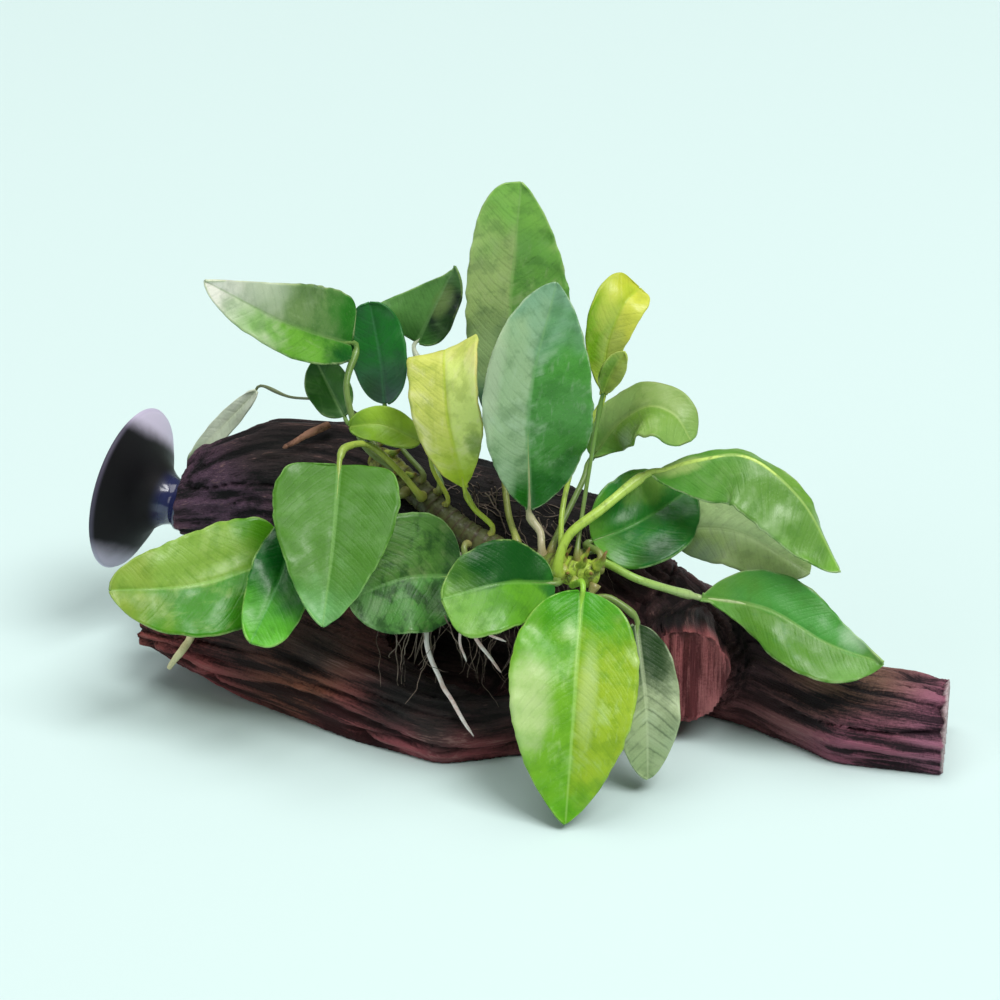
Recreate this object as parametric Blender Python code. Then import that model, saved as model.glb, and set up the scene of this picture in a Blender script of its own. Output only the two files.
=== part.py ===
"""Anubias on driftwood.

A water plant with leathery oval leaves creeps over a forked piece of dark driftwood, which has a
suction cup on one end. Metres, +Z up, and the front of the plant faces -Y. The origin is on the
surface that the wood stands on, under the middle of the whole object.
"""
import math
from dataclasses import dataclass, field

import bmesh
import bpy
from mathutils import Matrix, Vector, noise

MM = 0.001
ORIGIN_SHIFT = Vector((2.0, 2.5, 0.0)) * MM   # brings the middle of the whole box over the origin
GAP = 0.35 * MM                               # air between pieces that touch
SHARP_DEGREES = 40

# Driftwood: each arm is a row of stations (x, y, z of the middle, half depth, half height), in mm
WOOD_ARMS = {
    "log": [(-91, 33, 37, 8, 8), (-84, 31, 38, 9.5, 9.5), (-77, 31, 40, 12, 14), (-61, 31, 43, 16, 18),
            (-42, 28, 42, 20, 19.5), (-20, 20, 34, 23, 22), (0, 14, 31, 23, 22.5), (14, 11, 28, 21, 23),
            (28, 5, 19, 20, 18), (43, 3, 12, 16, 17), (61, -8, 10.5, 12.5, 14.5), (80, -22, 7.5, 15, 13.5),
            (102, -27, 6, 13.5, 12), (110, -28, 5.5, 13.5, 12)],
    "front_arm": [(28, -13, 8, 14, 14), (12, -19.5, 6, 12.5, 11.5), (-3, -19, 5, 12, 10.5),
                  (-18, -21.5, 5, 13, 11), (-34, -14.5, 8, 12, 13.5), (-54, -2, 11, 13.5, 15),
                  (-75, 8, 12.5, 12, 11.5), (-93, 12, 15, 8.5, 7), (-101, 15, 15.5, 8, 6.5)],
    "foot": [(-46, 10, 14, 16, 16), (-20, 8, 13, 20, 15), (10, 0, 12, 22, 14), (34, 0, 12, 17, 13)],
    "knob": [(38, 4, 18, 12.5, 15), (38, -10, 18, 12, 14.5), (38.5, -24, 18.5, 11.5, 14),
             (39, -30, 18.5, 11.5, 14)],
}
WOOD_SIDES = 14
WOOD_VOXEL = 2.2 * MM
WOOD_FACES = 2000
WOOD_RELIEF = 1.5 * MM        # how far the weathered surface swells and sinks
WOOD_RELIEF_SIZE = 22.0 * MM  # length of one swell
# The dark hollow behind the front lip, where the roots hang, in mm and degrees
HOLLOW_CENTRE = (-17, -12, 15)
HOLLOW_HALF = (18, 9.5, 11)
HOLLOW_TURN = -20
# Boxes in mm, each in a frame turned round Z at a corner: what a saw takes off each end of the wood,
# and the cell of each arm, which divides the wood at its forks
WOOD_SAWN_OFF = {
    "right_end": dict(low=(54.7, -70, -10), high=(80, 70, 80), turn=-10, corner=(51, 0, 0)),
    "knob_end": dict(low=(-11.5, -20, -10), high=(17, 0, 80), turn=0, corner=(39, -24.5, 0)),
    "front_arm_end": dict(low=(-125, -40, -10), high=(-101.5, 4, 80), turn=-23, corner=(4, -21, 0)),
    "branch_end": dict(low=(-80, -21, -10), high=(-48.5, 30, 80), turn=-22, corner=(-36, 20, 0)),
}
WOOD_CELLS = {
    "front_knob": dict(low=(-15, -40, -10), high=(15.5, 0, 80), turn=0, corner=(39, -11.5, 0)),
    "right_arm": dict(low=(0, -70, -10), high=(90, 70, 80), turn=-10, corner=(51, 0, 0)),
    "left_front_arm": dict(low=(-120, -60, -10), high=(0, 0, 80), turn=-23, corner=(4, -21, 0)),
    "left_back_branch": dict(low=(-90, -80, -10), high=(0, 60, 80), turn=-22, corner=(-36, 20, 0)),
}
WOOD_COLOURS = {
    "trunk": (.045, .016, .014),
    "right_arm": (.075, .026, .024),
    "front_knob": (.140, .045, .045),
    "left_front_arm": (.085, .028, .022),
    "left_back_branch": (.040, .016, .022),
}

# Suction cup
CUP_CENTRE = Vector((-98.8, 39.0, 38.5)) * MM
CUP_AXIS = Vector((-0.905, 0.395, 0.12)).normalized()
CUP_RADIUS = 21.0 * MM
CUP_RIM = 2.2 * MM            # width of the flat ring that meets the glass
CUP_STEPS = 24
CUP_LENGTH = 21.5 * MM
CUP_BUTTON_RADIUS = 6.6 * MM
SOCKET_REACH = 16.5 * MM      # how far the socket's cutter runs out past the wood

# Plant
RHIZOME_RADIUS = 3.4 * MM
BLADE_THICKNESS = 0.6 * MM
BLADE_CELLS_ALONG = 8
BLADE_CELLS_ACROSS = 4
STALK_POINTS = 4            # between its two straight ends
STALK_END = 1.6 * MM        # length of a straight end
ROOT_POINTS = 7


def mm(points):
    """Points given in millimetres, as vectors in metres."""
    return [Vector(point) * MM for point in points]


class Rail:
    """A smooth curve through chosen points, read by its share of length, from 0 to 1."""

    STEPS = 16

    def __init__(self, points):
        ends = [points[0] * 2 - points[1]] + list(points) + [points[-1] * 2 - points[-2]]
        self.points = [points[0].copy()]
        for a, b, c, d in zip(ends, ends[1:], ends[2:], ends[3:]):
            for step in range(1, self.STEPS + 1):
                self.points.append(self.between(a, b, c, d, step / self.STEPS))
        self.lengths = [0.0]
        for start, end in zip(self.points, self.points[1:]):
            self.lengths.append(self.lengths[-1] + (end - start).length)

    @staticmethod
    def between(a, b, c, d, u):
        """Point at u from 0 to 1 between b and c."""
        return 0.5 * ((b * 2) + (c - a) * u + (a * 2 - b * 5 + c * 4 - d) * u ** 2
                      + (b * 3 - a - c * 3 + d) * u ** 3)

    def at(self, share):
        goal = min(max(share, 0.0), 1.0) * self.lengths[-1]
        index = 1
        while index < len(self.lengths) - 1 and self.lengths[index] < goal:
            index += 1
        span = self.lengths[index] - self.lengths[index - 1]
        return self.points[index - 1].lerp(self.points[index], (goal - self.lengths[index - 1]) / span)

    def along(self, share):
        """Direction of the curve at a share of its length."""
        return (self.at(share + 0.02) - self.at(share - 0.02)).normalized()


@dataclass
class Leaf:
    """One leaf. Points are in mm. The midrib runs from the blade's base to its tip."""

    name: str
    midrib: list
    width: float                    # widest, in mm, before the halves are folded
    face: tuple                     # where the upper face looks at the base and at the tip
    root: tuple                     # share along the rhizome from its growing tip, angle round it
    colour: tuple
    bends: list = field(default_factory=list)   # points that the stalk passes
    shape: tuple = (0.5, 0.6)       # powers of the outline towards the base and towards the tip
    right: tuple = ()               # the right half's share of the width and powers, where they differ
    fold: float = 8.0               # degrees that each half stands up from the flat
    wave: float = 0.6               # height of the wavy edge, in mm
    waves: float = 2.0
    stalk: float = 0.85             # radius of the stalk, in mm


LEAVES = [
    Leaf("tall_back", [(-3.5, 16, 66), (-2.5, 20, 96), (0, 24, 126)], 22.5,
         ((.1, -1, .3), (.1, -1, .2)), (.33, 80), (.30, .50, .18), [(-3, -1, 51), (-4, 8, 58)],
         shape=(.45, .3), right=(1.32, .55, .8), fold=10),
    Leaf("centre", [(2, -9, 56), (2, -13, 87), (8, -7, 113)], 22.5, ((.1, -1, .4), (.1, -1, .5)),
         (.22, 85), (.30, .52, .30), [(4.5, -11, 51)], shape=(.75, .6), right=(1.32, .7, .8), fold=9,
         stalk=0.95),
    Leaf("yellow", [(-13.5, -5, 60), (-17, -8, 78), (-18, -5, 89), (-18, 1, 92.5), (-17.5, 9, 88)], 19,
         ((-.1, -1, .3), (-.3, .6, .8)), (.45, 95), (.75, .82, .22), [(-11, -5, 54)], shape=(.65, .36),
         right=(1.03, .8, .5), fold=6, stalk=0.7),
    Leaf("young_top", [(19.5, 6, 79), (20.5, 6, 92), (24, 8, 101), (28, 13, 103.5)], 14.5,
         ((.2, -1, .3), (.1, -.8, .6)), (.13, 75), (.75, .80, .15), [(10, -7, 56), (14, 2, 68)],
         shape=(.9, .3), right=(.72, 1.0, .3), fold=12, wave=.3, stalk=0.7),
    Leaf("young_low", [(19.5, 0, 82), (21.5, -2, 89), (24, -3, 94)], 6, ((.2, -1, .3), (.1, -.9, .3)),
         (.08, 95), (.50, .68, .25), [(14.5, -11, 56), (17, -4, 70)], shape=(.7, .6), fold=14, wave=.2,
         stalk=0.55),
    Leaf("right_small", [(17.2, 8, 61.5), (23, 4, 72), (30, -1, 79), (36, -5, 78.6), (39.8, -8, 73.4)],
         13.5, ((-.2, -.7, .7), (.3, -.5, .8)), (.20, 120), (.42, .56, .20),
         [(10, -4, 50), (15.5, 5, 58)], shape=(.3, .35), right=(1.5, .9, .35), fold=6, wave=.8, stalk=0.75),
    Leaf("right_big", [(31, -6, 64), (42, -8, 68.5), (53.5, -10, 70), (66, -14, 60.5), (75, -20, 45)], 9,
         ((-.2, -.3, 1), (.7, -.4, .6)), (.12, 20), (.45, .58, .30), [(11, -17.5, 53), (19, -13, 58)],
         shape=(.6, .5), right=(2.9, .6, .6), fold=-26, wave=.6, stalk=1.2),
    Leaf("right_grey", [(36, 5, 44), (52, -3, 47), (69, -11, 40)], 19,
         ((0, -.75, .65), (.1, -.75, .65)), (.10, 150), (.52, .64, .42), [(18, -9, 45), (27, -2, 43)],
         shape=(.55, .6), fold=6),
    Leaf("right_inner", [(17, -12, 49), (28, -8, 52), (41, 2, 56)], 24, ((0, -.8, .6), (0, -.8, .6)),
         (.0, 110), (.10, .42, .14), [], shape=(.5, .6), fold=12),
    Leaf("right_low", [(43, -16, 36), (58, -22, 36), (72, -28, 30), (85, -32, 27)], 19,
         ((.1, -.75, .65), (.1, -.8, .6)), (.02, 170), (.22, .52, .22), [(28, -20.5, 43)],
         shape=(.8, 1.1), right=(1.08, 1.2, .75), fold=8, wave=1.2, waves=1.3, stalk=1.0),
    Leaf("front", [(14, -33, 46.5), (12, -51, 27), (10, -62, 1.5)], 29, ((0, -.8, .6), (0, -1, .35)),
         (.06, -10), (.42, .68, .10), [], shape=(.5, .8), right=(1.07, .5, .8), fold=8),
    Leaf("front_pale", [(27, -28, 35), (29, -41, 21), (29.5, -46, 4)], 16,
         ((.2, -.9, .4), (.2, -1, .3)), (.0, -50), (.60, .70, .55), [(21, -25, 40.5)], shape=(.5, .6),
         fold=8),
    Leaf("front_folded", [(7.4, -26, 45.1), (-5, -33, 48.5), (-18.4, -38, 47)], 24,
         ((0, -.75, .7), (-.1, -.8, .65)), (.17, 0), (.30, .62, .12), [], shape=(.5, .2),
         right=(.85, .5, .6), fold=10, wave=.3),
    Leaf("mottled", [(-14, -13, 40), (-27, -19.5, 43), (-41, -24, 39.5)], 28,
         ((0, -.8, .65), (-.2, -.85, .55)), (.50, 0), (.30, .48, .28), [], shape=(.45, .45),
         right=(1.1, .35, .5), fold=8),
    Leaf("left_broad", [(-43, -6, 66), (-44, -24, 54), (-46, -38, 40)], 30,
         ((0, -.75, .65), (0, -.95, .45)), (.74, 40), (.38, .62, .25),
         [(-29, 3, 60), (-36, 3, 67), (-41.5, -1, 68.5)], shape=(.22, .72), fold=5),
    Leaf("left_low", [(-56, -5, 42), (-76, -16, 39.5), (-97, -22, 41)], 27,
         ((0, -.75, .65), (-.1, -.8, .6)), (.66, -20), (.42, .66, .20), [(-32, -3, 48), (-45, -3, 45)],
         shape=(.5, .62), right=(.97, .25, .5), fold=8),
    Leaf("left_dark", [(-53, -8, 54), (-57, -24, 44), (-63, -35, 34)], 17,
         ((-.1, -.85, .55), (-.1, -.9, .45)), (.80, 0), (.10, .50, .20),
         [(-38, -1, 54), (-46, -2, 55)], shape=(.5, .3), right=(.85, .6, .6), fold=8),
    Leaf("left_top", [(-41, 20, 86), (-55, 10, 95.5), (-74, 4, 109)], 17,
         ((0, -.7, .7), (-.1, -.8, .6)), (.88, 45), (.38, .58, .26), [(-38, 8.5, 65), (-42, 14, 77)],
         shape=(.35, .6), right=(1.45, .2, .95), fold=14),
    Leaf("back_left", [(-33, 21, 70), (-34, 22, 81), (-36.5, 26, 94.5)], 14,
         ((-.1, -1, .3), (-.1, -1, .4)), (.79, 92), (.12, .38, .20), [(-29, 13, 62)], shape=(.5, .4),
         fold=10, stalk=0.7),
    Leaf("back_mid", [(-25.2, 29.5, 82.5), (-20.2, 32, 92.5), (-15.9, 34, 100.7)], 26.5,
         ((-.3, -.9, .4), (-.3, -.9, .4)), (.72, 110), (.35, .52, .32), [(-22, 12, 62), (-22, 24, 73)],
         shape=(.16, 1.4), right=(.5, .4, .6), fold=10, stalk=0.7),
    Leaf("back_low", [(-43, 20, 67), (-46, 23, 72), (-50, 27, 79)], 11.5,
         ((-.3, -.9, .4), (-.3, -.9, .4)), (.98, 60), (.16, .40, .16), [(-39, 16, 66)], shape=(.5, .5),
         fold=10, wave=.4, stalk=0.65),
    Leaf("lime_small", [(-24, 3, 68), (-33, 4, 72), (-41, 5, 71)], 9, ((0, -.8, .6), (0, -.8, .6)),
         (.66, 90), (.50, .62, .18), [(-21, 2, 61)], shape=(.5, .5), fold=8, wave=.4, stalk=0.6),
    Leaf("faded", [(-67, 53, 59), (-75.5, 52, 50), (-84.5, 48, 41)], 5.5, ((0, -.8, .6), (0, -.8, .6)),
         (1.0, 125), (.70, .78, .62), [(-41, 25, 66), (-48, 34, 65), (-58, 46, 60.5)], shape=(.5, .5),
         fold=8, wave=.3, stalk=0.4),
]

# Rhizome, from its growing tip at the front to its old end on the left
RHIZOME = [(18, -21, 44.5), (8, -15, 43.5), (-2, -9, 43.5), (-14, -3, 47), (-26, 6, 54.5), (-36, 13, 60.5)]

# Roots and the old stalk, each from its top to its end, with its radius
ROOTS = {
    "root_long": ([(-13.2, -6.4, 43.2), (-14.5, -9, 42.8), (-19, -17, 38), (-22.5, -25, 30), (-19, -28, 20),
                   (-14.5, -31.8, 13.2), (-11.1, -33.3, 8)], 0.7),
    "root_middle": ([(-7, -9.2, 41.1), (-10.5, -18, 37), (-11, -24, 31), (-8, -26, 26), (-4.5, -27, 22)], 0.6),
    "root_left": ([(-10, -7.9, 41.8), (-12, -16.5, 36), (-14.5, -23, 30), (-13, -26, 24)], 0.45),
    "root_right": ([(-1, -12.2, 40.1), (-6, -20, 35), (-8, -24, 31), (-3.5, -26, 29.5)], 0.5),
    "root_on_arm": ([(-79.6, -0.4, 21.4), (-80.7, -2.4, 17.8), (-82.3, -3, 15.3), (-84.2, -2.5, 12.2),
                     (-86.7, 0.6, 7.6)], 1.1),
    "old_stalk": ([(-47, 25.9, 62), (-50, 24, 61.4), (-53, 22.2, 60.7), (-56.3, 20.5, 59.4), (-58.3, 19.5, 58.5)],
                  1.0),
}


def object_from(name, bm):
    """Turn a bmesh into a smooth-shaded mesh object with outward faces."""
    bmesh.ops.recalc_face_normals(bm, faces=bm.faces)
    mesh = bpy.data.meshes.new(name)
    bm.to_mesh(mesh)
    bm.free()
    mesh.shade_smooth()
    mesh.set_sharp_from_angle(angle=math.radians(SHARP_DEGREES))
    thing = bpy.data.objects.new(name, mesh)
    bpy.context.collection.objects.link(thing)
    return thing


def guide(thing):
    """Keep an object out of the model, as a cutter or a helper."""
    thing.hide_render = True
    thing.display_type = 'WIRE'
    return thing


def paint(thing, colour, roughness):
    material = bpy.data.materials.new(thing.name)
    material.use_nodes = True
    surface = material.node_tree.nodes["Principled BSDF"]
    surface.inputs["Base Color"].default_value = (*colour, 1)
    surface.inputs["Roughness"].default_value = roughness
    surface.inputs["Metallic"].default_value = 0
    thing.data.materials.append(material)


def frozen(thing):
    """The object's mesh with its modifiers applied."""
    graph = bpy.context.evaluated_depsgraph_get()
    return bpy.data.meshes.new_from_object(thing.evaluated_get(graph))


def boolean(thing, cutter, operation):
    cut = thing.modifiers.new(cutter.name, 'BOOLEAN')
    cut.operation = operation
    cut.object = cutter


# Driftwood

def add_arm(bm, stations):
    """Bridge an oval ring at every station into one closed arm."""
    rail = Rail(mm([station[:3] for station in stations]))
    middles = [rail.lengths[index * Rail.STEPS] / rail.lengths[-1] for index in range(len(stations))]
    before = None
    for share, (x, y, z, depth, height) in zip(middles, stations):
        along = rail.along(share)
        side = along.cross(Vector((0, 0, 1))).normalized()
        frame = Matrix((side * depth * MM, side.cross(along) * -height * MM, along)).transposed().to_4x4()
        frame.translation = Vector((x, y, z)) * MM
        ring = bmesh.ops.create_circle(bm, segments=WOOD_SIDES, radius=1, matrix=frame)["verts"]
        edges = list({edge for vertex in ring for edge in vertex.link_edges})
        if before is None:
            bmesh.ops.contextual_create(bm, geom=edges)
        else:
            bmesh.ops.bridge_loops(bm, edges=before + edges)
        before = edges
    bmesh.ops.contextual_create(bm, geom=before)


def wood_block():
    """The whole driftwood as one closed surface, flat underneath."""
    bm = bmesh.new()
    for stations in WOOD_ARMS.values():
        add_arm(bm, stations)
    rough = guide(object_from("wood_rough", bm))
    merged = rough.modifiers.new("merge", 'REMESH')
    merged.mode = 'VOXEL'
    merged.voxel_size = WOOD_VOXEL
    smooth = rough.modifiers.new("smooth", 'SMOOTH')
    smooth.factor = 0.5
    smooth.iterations = 6
    bm = bmesh.new()
    bm.from_mesh(frozen(rough))
    bm.normal_update()
    for vertex in bm.verts:
        swell = noise.noise(vertex.co / WOOD_RELIEF_SIZE) * WOOD_RELIEF
        vertex.co += vertex.normal * swell
    block = guide(object_from("wood_block", bm))
    boolean(block, hollow_cutter(), 'DIFFERENCE')
    for name, cell in WOOD_SAWN_OFF.items():
        boolean(block, box_cutter(name, grow=0, **cell), 'DIFFERENCE')
    light = block.modifiers.new("lighten", 'DECIMATE')
    light.ratio = WOOD_FACES / (2 * len(block.data.polygons))
    bm = bmesh.new()
    bm.from_mesh(frozen(block))
    sliced = bmesh.ops.bisect_plane(bm, geom=bm.verts[:] + bm.edges[:] + bm.faces[:],
                                    plane_co=(0, 0, 0), plane_no=(0, 0, -1), clear_outer=True)
    rim = [item for item in sliced["geom_cut"] if isinstance(item, bmesh.types.BMEdge)]
    bmesh.ops.triangle_fill(bm, edges=rim, use_beauty=True)
    bmesh.ops.recalc_face_normals(bm, faces=bm.faces)
    return bm


def hollow_cutter():
    """The dark hollow behind the front lip, where the roots hang."""
    bm = bmesh.new()
    bmesh.ops.create_icosphere(bm, subdivisions=3, radius=1)
    bmesh.ops.scale(bm, vec=Vector(HOLLOW_HALF) * MM, verts=bm.verts)
    turn = Matrix.Rotation(math.radians(HOLLOW_TURN), 3, 'Z')
    bmesh.ops.rotate(bm, matrix=turn, verts=bm.verts)
    bmesh.ops.translate(bm, vec=Vector(HOLLOW_CENTRE) * MM, verts=bm.verts)
    return guide(object_from("hollow", bm))


def box_cutter(name, low, high, turn, corner, grow):
    """A box from low to high in its own turned frame, which starts at corner. Sizes in mm."""
    bm = bmesh.new()
    bmesh.ops.create_cube(bm, size=1)
    size = (Vector(high) - Vector(low)) * MM + Vector((grow, grow, grow)) * 2
    bmesh.ops.scale(bm, vec=size, verts=bm.verts)
    bmesh.ops.translate(bm, vec=(Vector(high) + Vector(low)) * MM / 2, verts=bm.verts)
    bmesh.ops.rotate(bm, matrix=Matrix.Rotation(math.radians(turn), 3, 'Z'), verts=bm.verts)
    bmesh.ops.translate(bm, vec=Vector(corner) * MM, verts=bm.verts)
    return guide(object_from(name, bm))


def make_driftwood(rhizome_groove):
    whole = wood_block()
    socket = socket_cutter()
    taken = []
    for name, cell in WOOD_CELLS.items():
        piece = object_from("driftwood_" + name, whole.copy())
        boolean(piece, box_cutter("cell_" + name, grow=0, **cell), 'INTERSECT')
        for cutter in taken + [rhizome_groove, socket]:
            boolean(piece, cutter, 'DIFFERENCE')
        taken.append(box_cutter("cleared_" + name, grow=GAP, **cell))
        paint(piece, WOOD_COLOURS[name], 0.7)
    trunk = object_from("driftwood_trunk", whole)
    for cutter in taken + [rhizome_groove]:
        boolean(trunk, cutter, 'DIFFERENCE')
    paint(trunk, WOOD_COLOURS["trunk"], 0.7)


# Suction cup

def cup_frame():
    """Matrix whose Z runs from the wood out through the middle of the cup's rim."""
    turn = Vector((0, 0, 1)).rotation_difference(CUP_AXIS).to_matrix().to_4x4()
    return Matrix.Translation(CUP_CENTRE) @ turn


def turned(name, profile, steps):
    """Turn a closed profile of (radius, height) pairs in mm round the Z axis."""
    bm = bmesh.new()
    corners = [bm.verts.new((radius * MM, 0, height * MM)) for radius, height in profile]
    edges = [bm.edges.new(pair) for pair in zip(corners, corners[1:])]
    bmesh.ops.spin(bm, geom=corners + edges, axis=(0, 0, 1), cent=(0, 0, 0), steps=steps,
                   angle=2 * math.pi, use_merge=True)
    bmesh.ops.remove_doubles(bm, verts=bm.verts, dist=0.0001 * MM)
    bmesh.ops.transform(bm, matrix=cup_frame(), verts=bm.verts)
    return object_from(name, bm)


def make_suction_cup():
    outer = CUP_RADIUS / MM
    inner = outer - CUP_RIM / MM
    button = CUP_BUTTON_RADIUS / MM
    end = -CUP_LENGTH / MM
    profile = [(0, -6.4), (6, -5.8), (13, -3.4), (inner, 0), (outer, 0), (outer - .4, -1.2), (16, -3.9),
               (10.5, -6.9), (7.2, -10.2), (5.8, -13.4), (button, -15.2), (button, end + 1), (button - 1, end),
               (0, end)]
    cup = turned("suction_cup", profile, CUP_STEPS)
    paint(cup, (.012, .008, .016), 0.2)


def socket_cutter():
    """The recess in the wood's end that the cup's button sits in."""
    radius = (CUP_BUTTON_RADIUS + GAP) / MM
    bottom = -(CUP_LENGTH + GAP) / MM
    mouth = bottom + SOCKET_REACH / MM
    outline = [(0, bottom), (radius, bottom), (radius, mouth), (0, mouth)]
    return guide(turned("cup_socket", outline, CUP_STEPS))


# Plant

def tube(name, points, radius, resolution, tip_scale=1.0):
    """A round rod with closed ends through points that are in metres."""
    line = bpy.data.curves.new(name, 'CURVE')
    line.dimensions = '3D'
    line.bevel_depth = radius
    line.bevel_resolution = resolution
    line.use_fill_caps = True
    spline = line.splines.new('POLY')
    spline.points.add(len(points) - 1)
    for index, point in enumerate(points):
        spline.points[index].co = (*point, 1)
        spline.points[index].radius = 1 + (tip_scale - 1) * index / (len(points) - 1)
    rod = bpy.data.objects.new(name, line)
    bpy.context.collection.objects.link(rod)
    return rod


def even_points(rail, count):
    return [rail.at(index / (count - 1)) for index in range(count)]


def make_rhizome(rail):
    body = tube("rhizome", even_points(rail, 12), RHIZOME_RADIUS, 2)
    paint(body, (.20, .27, .07), 0.5)
    ends = [rail.at(0) - rail.along(0) * 2 * MM, rail.at(1) + rail.along(1) * 2 * MM]
    wider = guide(tube("rhizome_outline", ends[:1] + even_points(rail, 12) + ends[1:],
                       RHIZOME_RADIUS + 2 * GAP, 2))
    bm = bmesh.new()
    bm.from_mesh(frozen(wider))
    return guide(object_from("rhizome_groove", bm))


def half_width(leaf, share, side):
    """How far the outline stands from the midrib on that side, in metres."""
    scale, rise, fall = leaf.right if side > 0 and leaf.right else (1.0, *leaf.shape)
    peak = (rise / (rise + fall)) ** rise * (fall / (rise + fall)) ** fall
    half = leaf.width * MM / 2 * scale * share ** rise * (1 - share) ** fall / peak
    return max(half, leaf.stalk * MM * (1 - share) + 0.15 * MM)


def blade_point(leaf, rail, share, side):
    """A point of the blade: share runs from base to tip, side from -1 at the left edge to 1."""
    half = half_width(leaf, share, side)
    along = rail.along(share)
    up = Vector(leaf.face[0]).lerp(Vector(leaf.face[1]), share)
    up = (up - along * up.dot(along)).normalized()
    right = along.cross(up)
    fold = math.radians(leaf.fold)
    phase = 1.6 if side > 0 else 0.0
    ripple = math.sin(2 * math.pi * leaf.waves * share + phase) * leaf.wave * MM * side * side
    height = abs(side) * half * math.sin(fold) + ripple
    return rail.at(share) + right * side * half * math.cos(fold) + up * height


def make_blade(leaf):
    """A flat grid laid over the leaf's formula and thickened."""
    rail = Rail(mm(leaf.midrib))
    bm = bmesh.new()
    bmesh.ops.create_grid(bm, x_segments=BLADE_CELLS_ACROSS, y_segments=BLADE_CELLS_ALONG, size=0.5)
    for vertex in bm.verts:
        step = vertex.co.y + 0.5
        share = step - 0.09 * math.sin(2 * math.pi * step)
        vertex.co = blade_point(leaf, rail, share, vertex.co.x * 2)
    blade = object_from("leaf_" + leaf.name, bm)
    thick = blade.modifiers.new("thickness", 'SOLIDIFY')
    thick.thickness = BLADE_THICKNESS
    thick.offset = 0
    paint(blade, leaf.colour, 0.35)
    return rail


def make_stalk(leaf, blade_rail, rhizome_rail):
    """The stalk from the rhizome's skin to just short of the blade."""
    share, angle = leaf.root
    along = rhizome_rail.along(share)
    side = along.cross(Vector((0, 0, 1))).normalized()
    lift = side.cross(along)
    outward = -side * math.cos(math.radians(angle)) + lift * math.sin(math.radians(angle))
    start = rhizome_rail.at(share) + outward * (RHIZOME_RADIUS + GAP)
    into_blade = blade_rail.along(0)
    end = blade_rail.at(0) - into_blade * GAP
    bends = [start + outward * STALK_END] + mm(leaf.bends) + [end - into_blade * STALK_END]
    points = [start] + even_points(Rail(bends), STALK_POINTS) + [end]
    stalk = tube("stalk_" + leaf.name, points, leaf.stalk * MM, 1)
    green = [0.5 * part + 0.5 * tint for part, tint in zip(leaf.colour, (.45, .55, .18))]
    paint(stalk, green, 0.45)


def make_roots():
    for name, (points, radius) in ROOTS.items():
        root = tube(name, even_points(Rail(mm(points)), ROOT_POINTS), radius * MM, 1, tip_scale=0.7)
        paint(root, (.62, .44, .36), 0.6)


def build():
    for old in list(bpy.data.objects):
        bpy.data.objects.remove(old, do_unlink=True)
    rhizome_rail = Rail(mm(RHIZOME))
    groove = make_rhizome(rhizome_rail)
    make_driftwood(groove)
    make_suction_cup()
    for leaf in LEAVES:
        make_stalk(leaf, make_blade(leaf), rhizome_rail)
    make_roots()
    place = bpy.data.objects.new("place", None)
    place.location = ORIGIN_SHIFT
    bpy.context.collection.objects.link(place)
    for thing in bpy.context.collection.objects:
        if thing is not place:
            thing.parent = place


build()
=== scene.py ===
# %% [markdown]
# # Anubias on driftwood
# A water plant with leathery oval leaves creeps over a forked piece of dark driftwood. A dark suction
# cup sits on one end of the wood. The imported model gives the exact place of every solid, so this lesson
# loads it first and then dresses each solid: the same tables of points, with finer meshes and real
# finishes.

# %% Load the frame
import math
import random
from dataclasses import dataclass, field

import bmesh
import bpy
import numpy as np
from mathutils import Matrix, Vector, kdtree, noise
from mathutils.bvhtree import BVHTree


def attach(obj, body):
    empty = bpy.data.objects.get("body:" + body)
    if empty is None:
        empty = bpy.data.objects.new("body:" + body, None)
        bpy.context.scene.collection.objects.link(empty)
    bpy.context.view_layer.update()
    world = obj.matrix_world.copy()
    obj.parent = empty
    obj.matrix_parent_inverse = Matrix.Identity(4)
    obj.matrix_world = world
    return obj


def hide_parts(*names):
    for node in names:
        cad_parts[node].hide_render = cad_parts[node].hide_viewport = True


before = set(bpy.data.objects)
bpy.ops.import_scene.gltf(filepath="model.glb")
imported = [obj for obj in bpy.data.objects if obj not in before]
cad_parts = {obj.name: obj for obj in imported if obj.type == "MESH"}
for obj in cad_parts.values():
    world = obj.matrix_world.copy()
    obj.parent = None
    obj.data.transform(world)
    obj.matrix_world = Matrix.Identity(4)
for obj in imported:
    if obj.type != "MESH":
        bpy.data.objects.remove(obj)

MM = 0.001
ORIGIN_SHIFT = Vector((2.0, 2.5, 0.0)) * MM   # the tables below are drawn before this small move
UP = Vector((0, 0, 1))
SEED = 11
noise.seed_set(SEED)    # without a seed, noise_vector would start from the clock


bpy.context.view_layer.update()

# %% Objects and meshes
def placed(name, data):
    """A new object in the scene."""
    thing = bpy.data.objects.new(name, data)
    bpy.context.collection.objects.link(thing)
    return thing


def mesh_from(name, bm):
    """A new mesh from a bmesh, which is freed."""
    mesh = bpy.data.meshes.new(name)
    bm.to_mesh(mesh)
    bm.free()
    return mesh


# %% [markdown]
# ## Camera and studio
# The photograph looks a little down at the front of the plant through a long lens, so shapes hardly
# shrink with distance. A large soft light from the upper right pales the half of each leaf that is
# folded towards it, as in the photograph. Two weaker ones keep the shadows open. All of them hang far
# away, so that the floor is lit evenly. One hard lamp would be simpler, but leathery leaves need wide
# lights to show their soft gloss.

# %% Camera
CAMERA_LOOKS_AT = Vector((-3.0, 2.5, 54.0)) * MM
CAMERA_DISTANCE = 0.75
CAMERA_ELEVATION = math.radians(26)
LENS_MM = 112.5
SENSOR_MM = 36
NEAR_CLIP = 0.02


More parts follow.
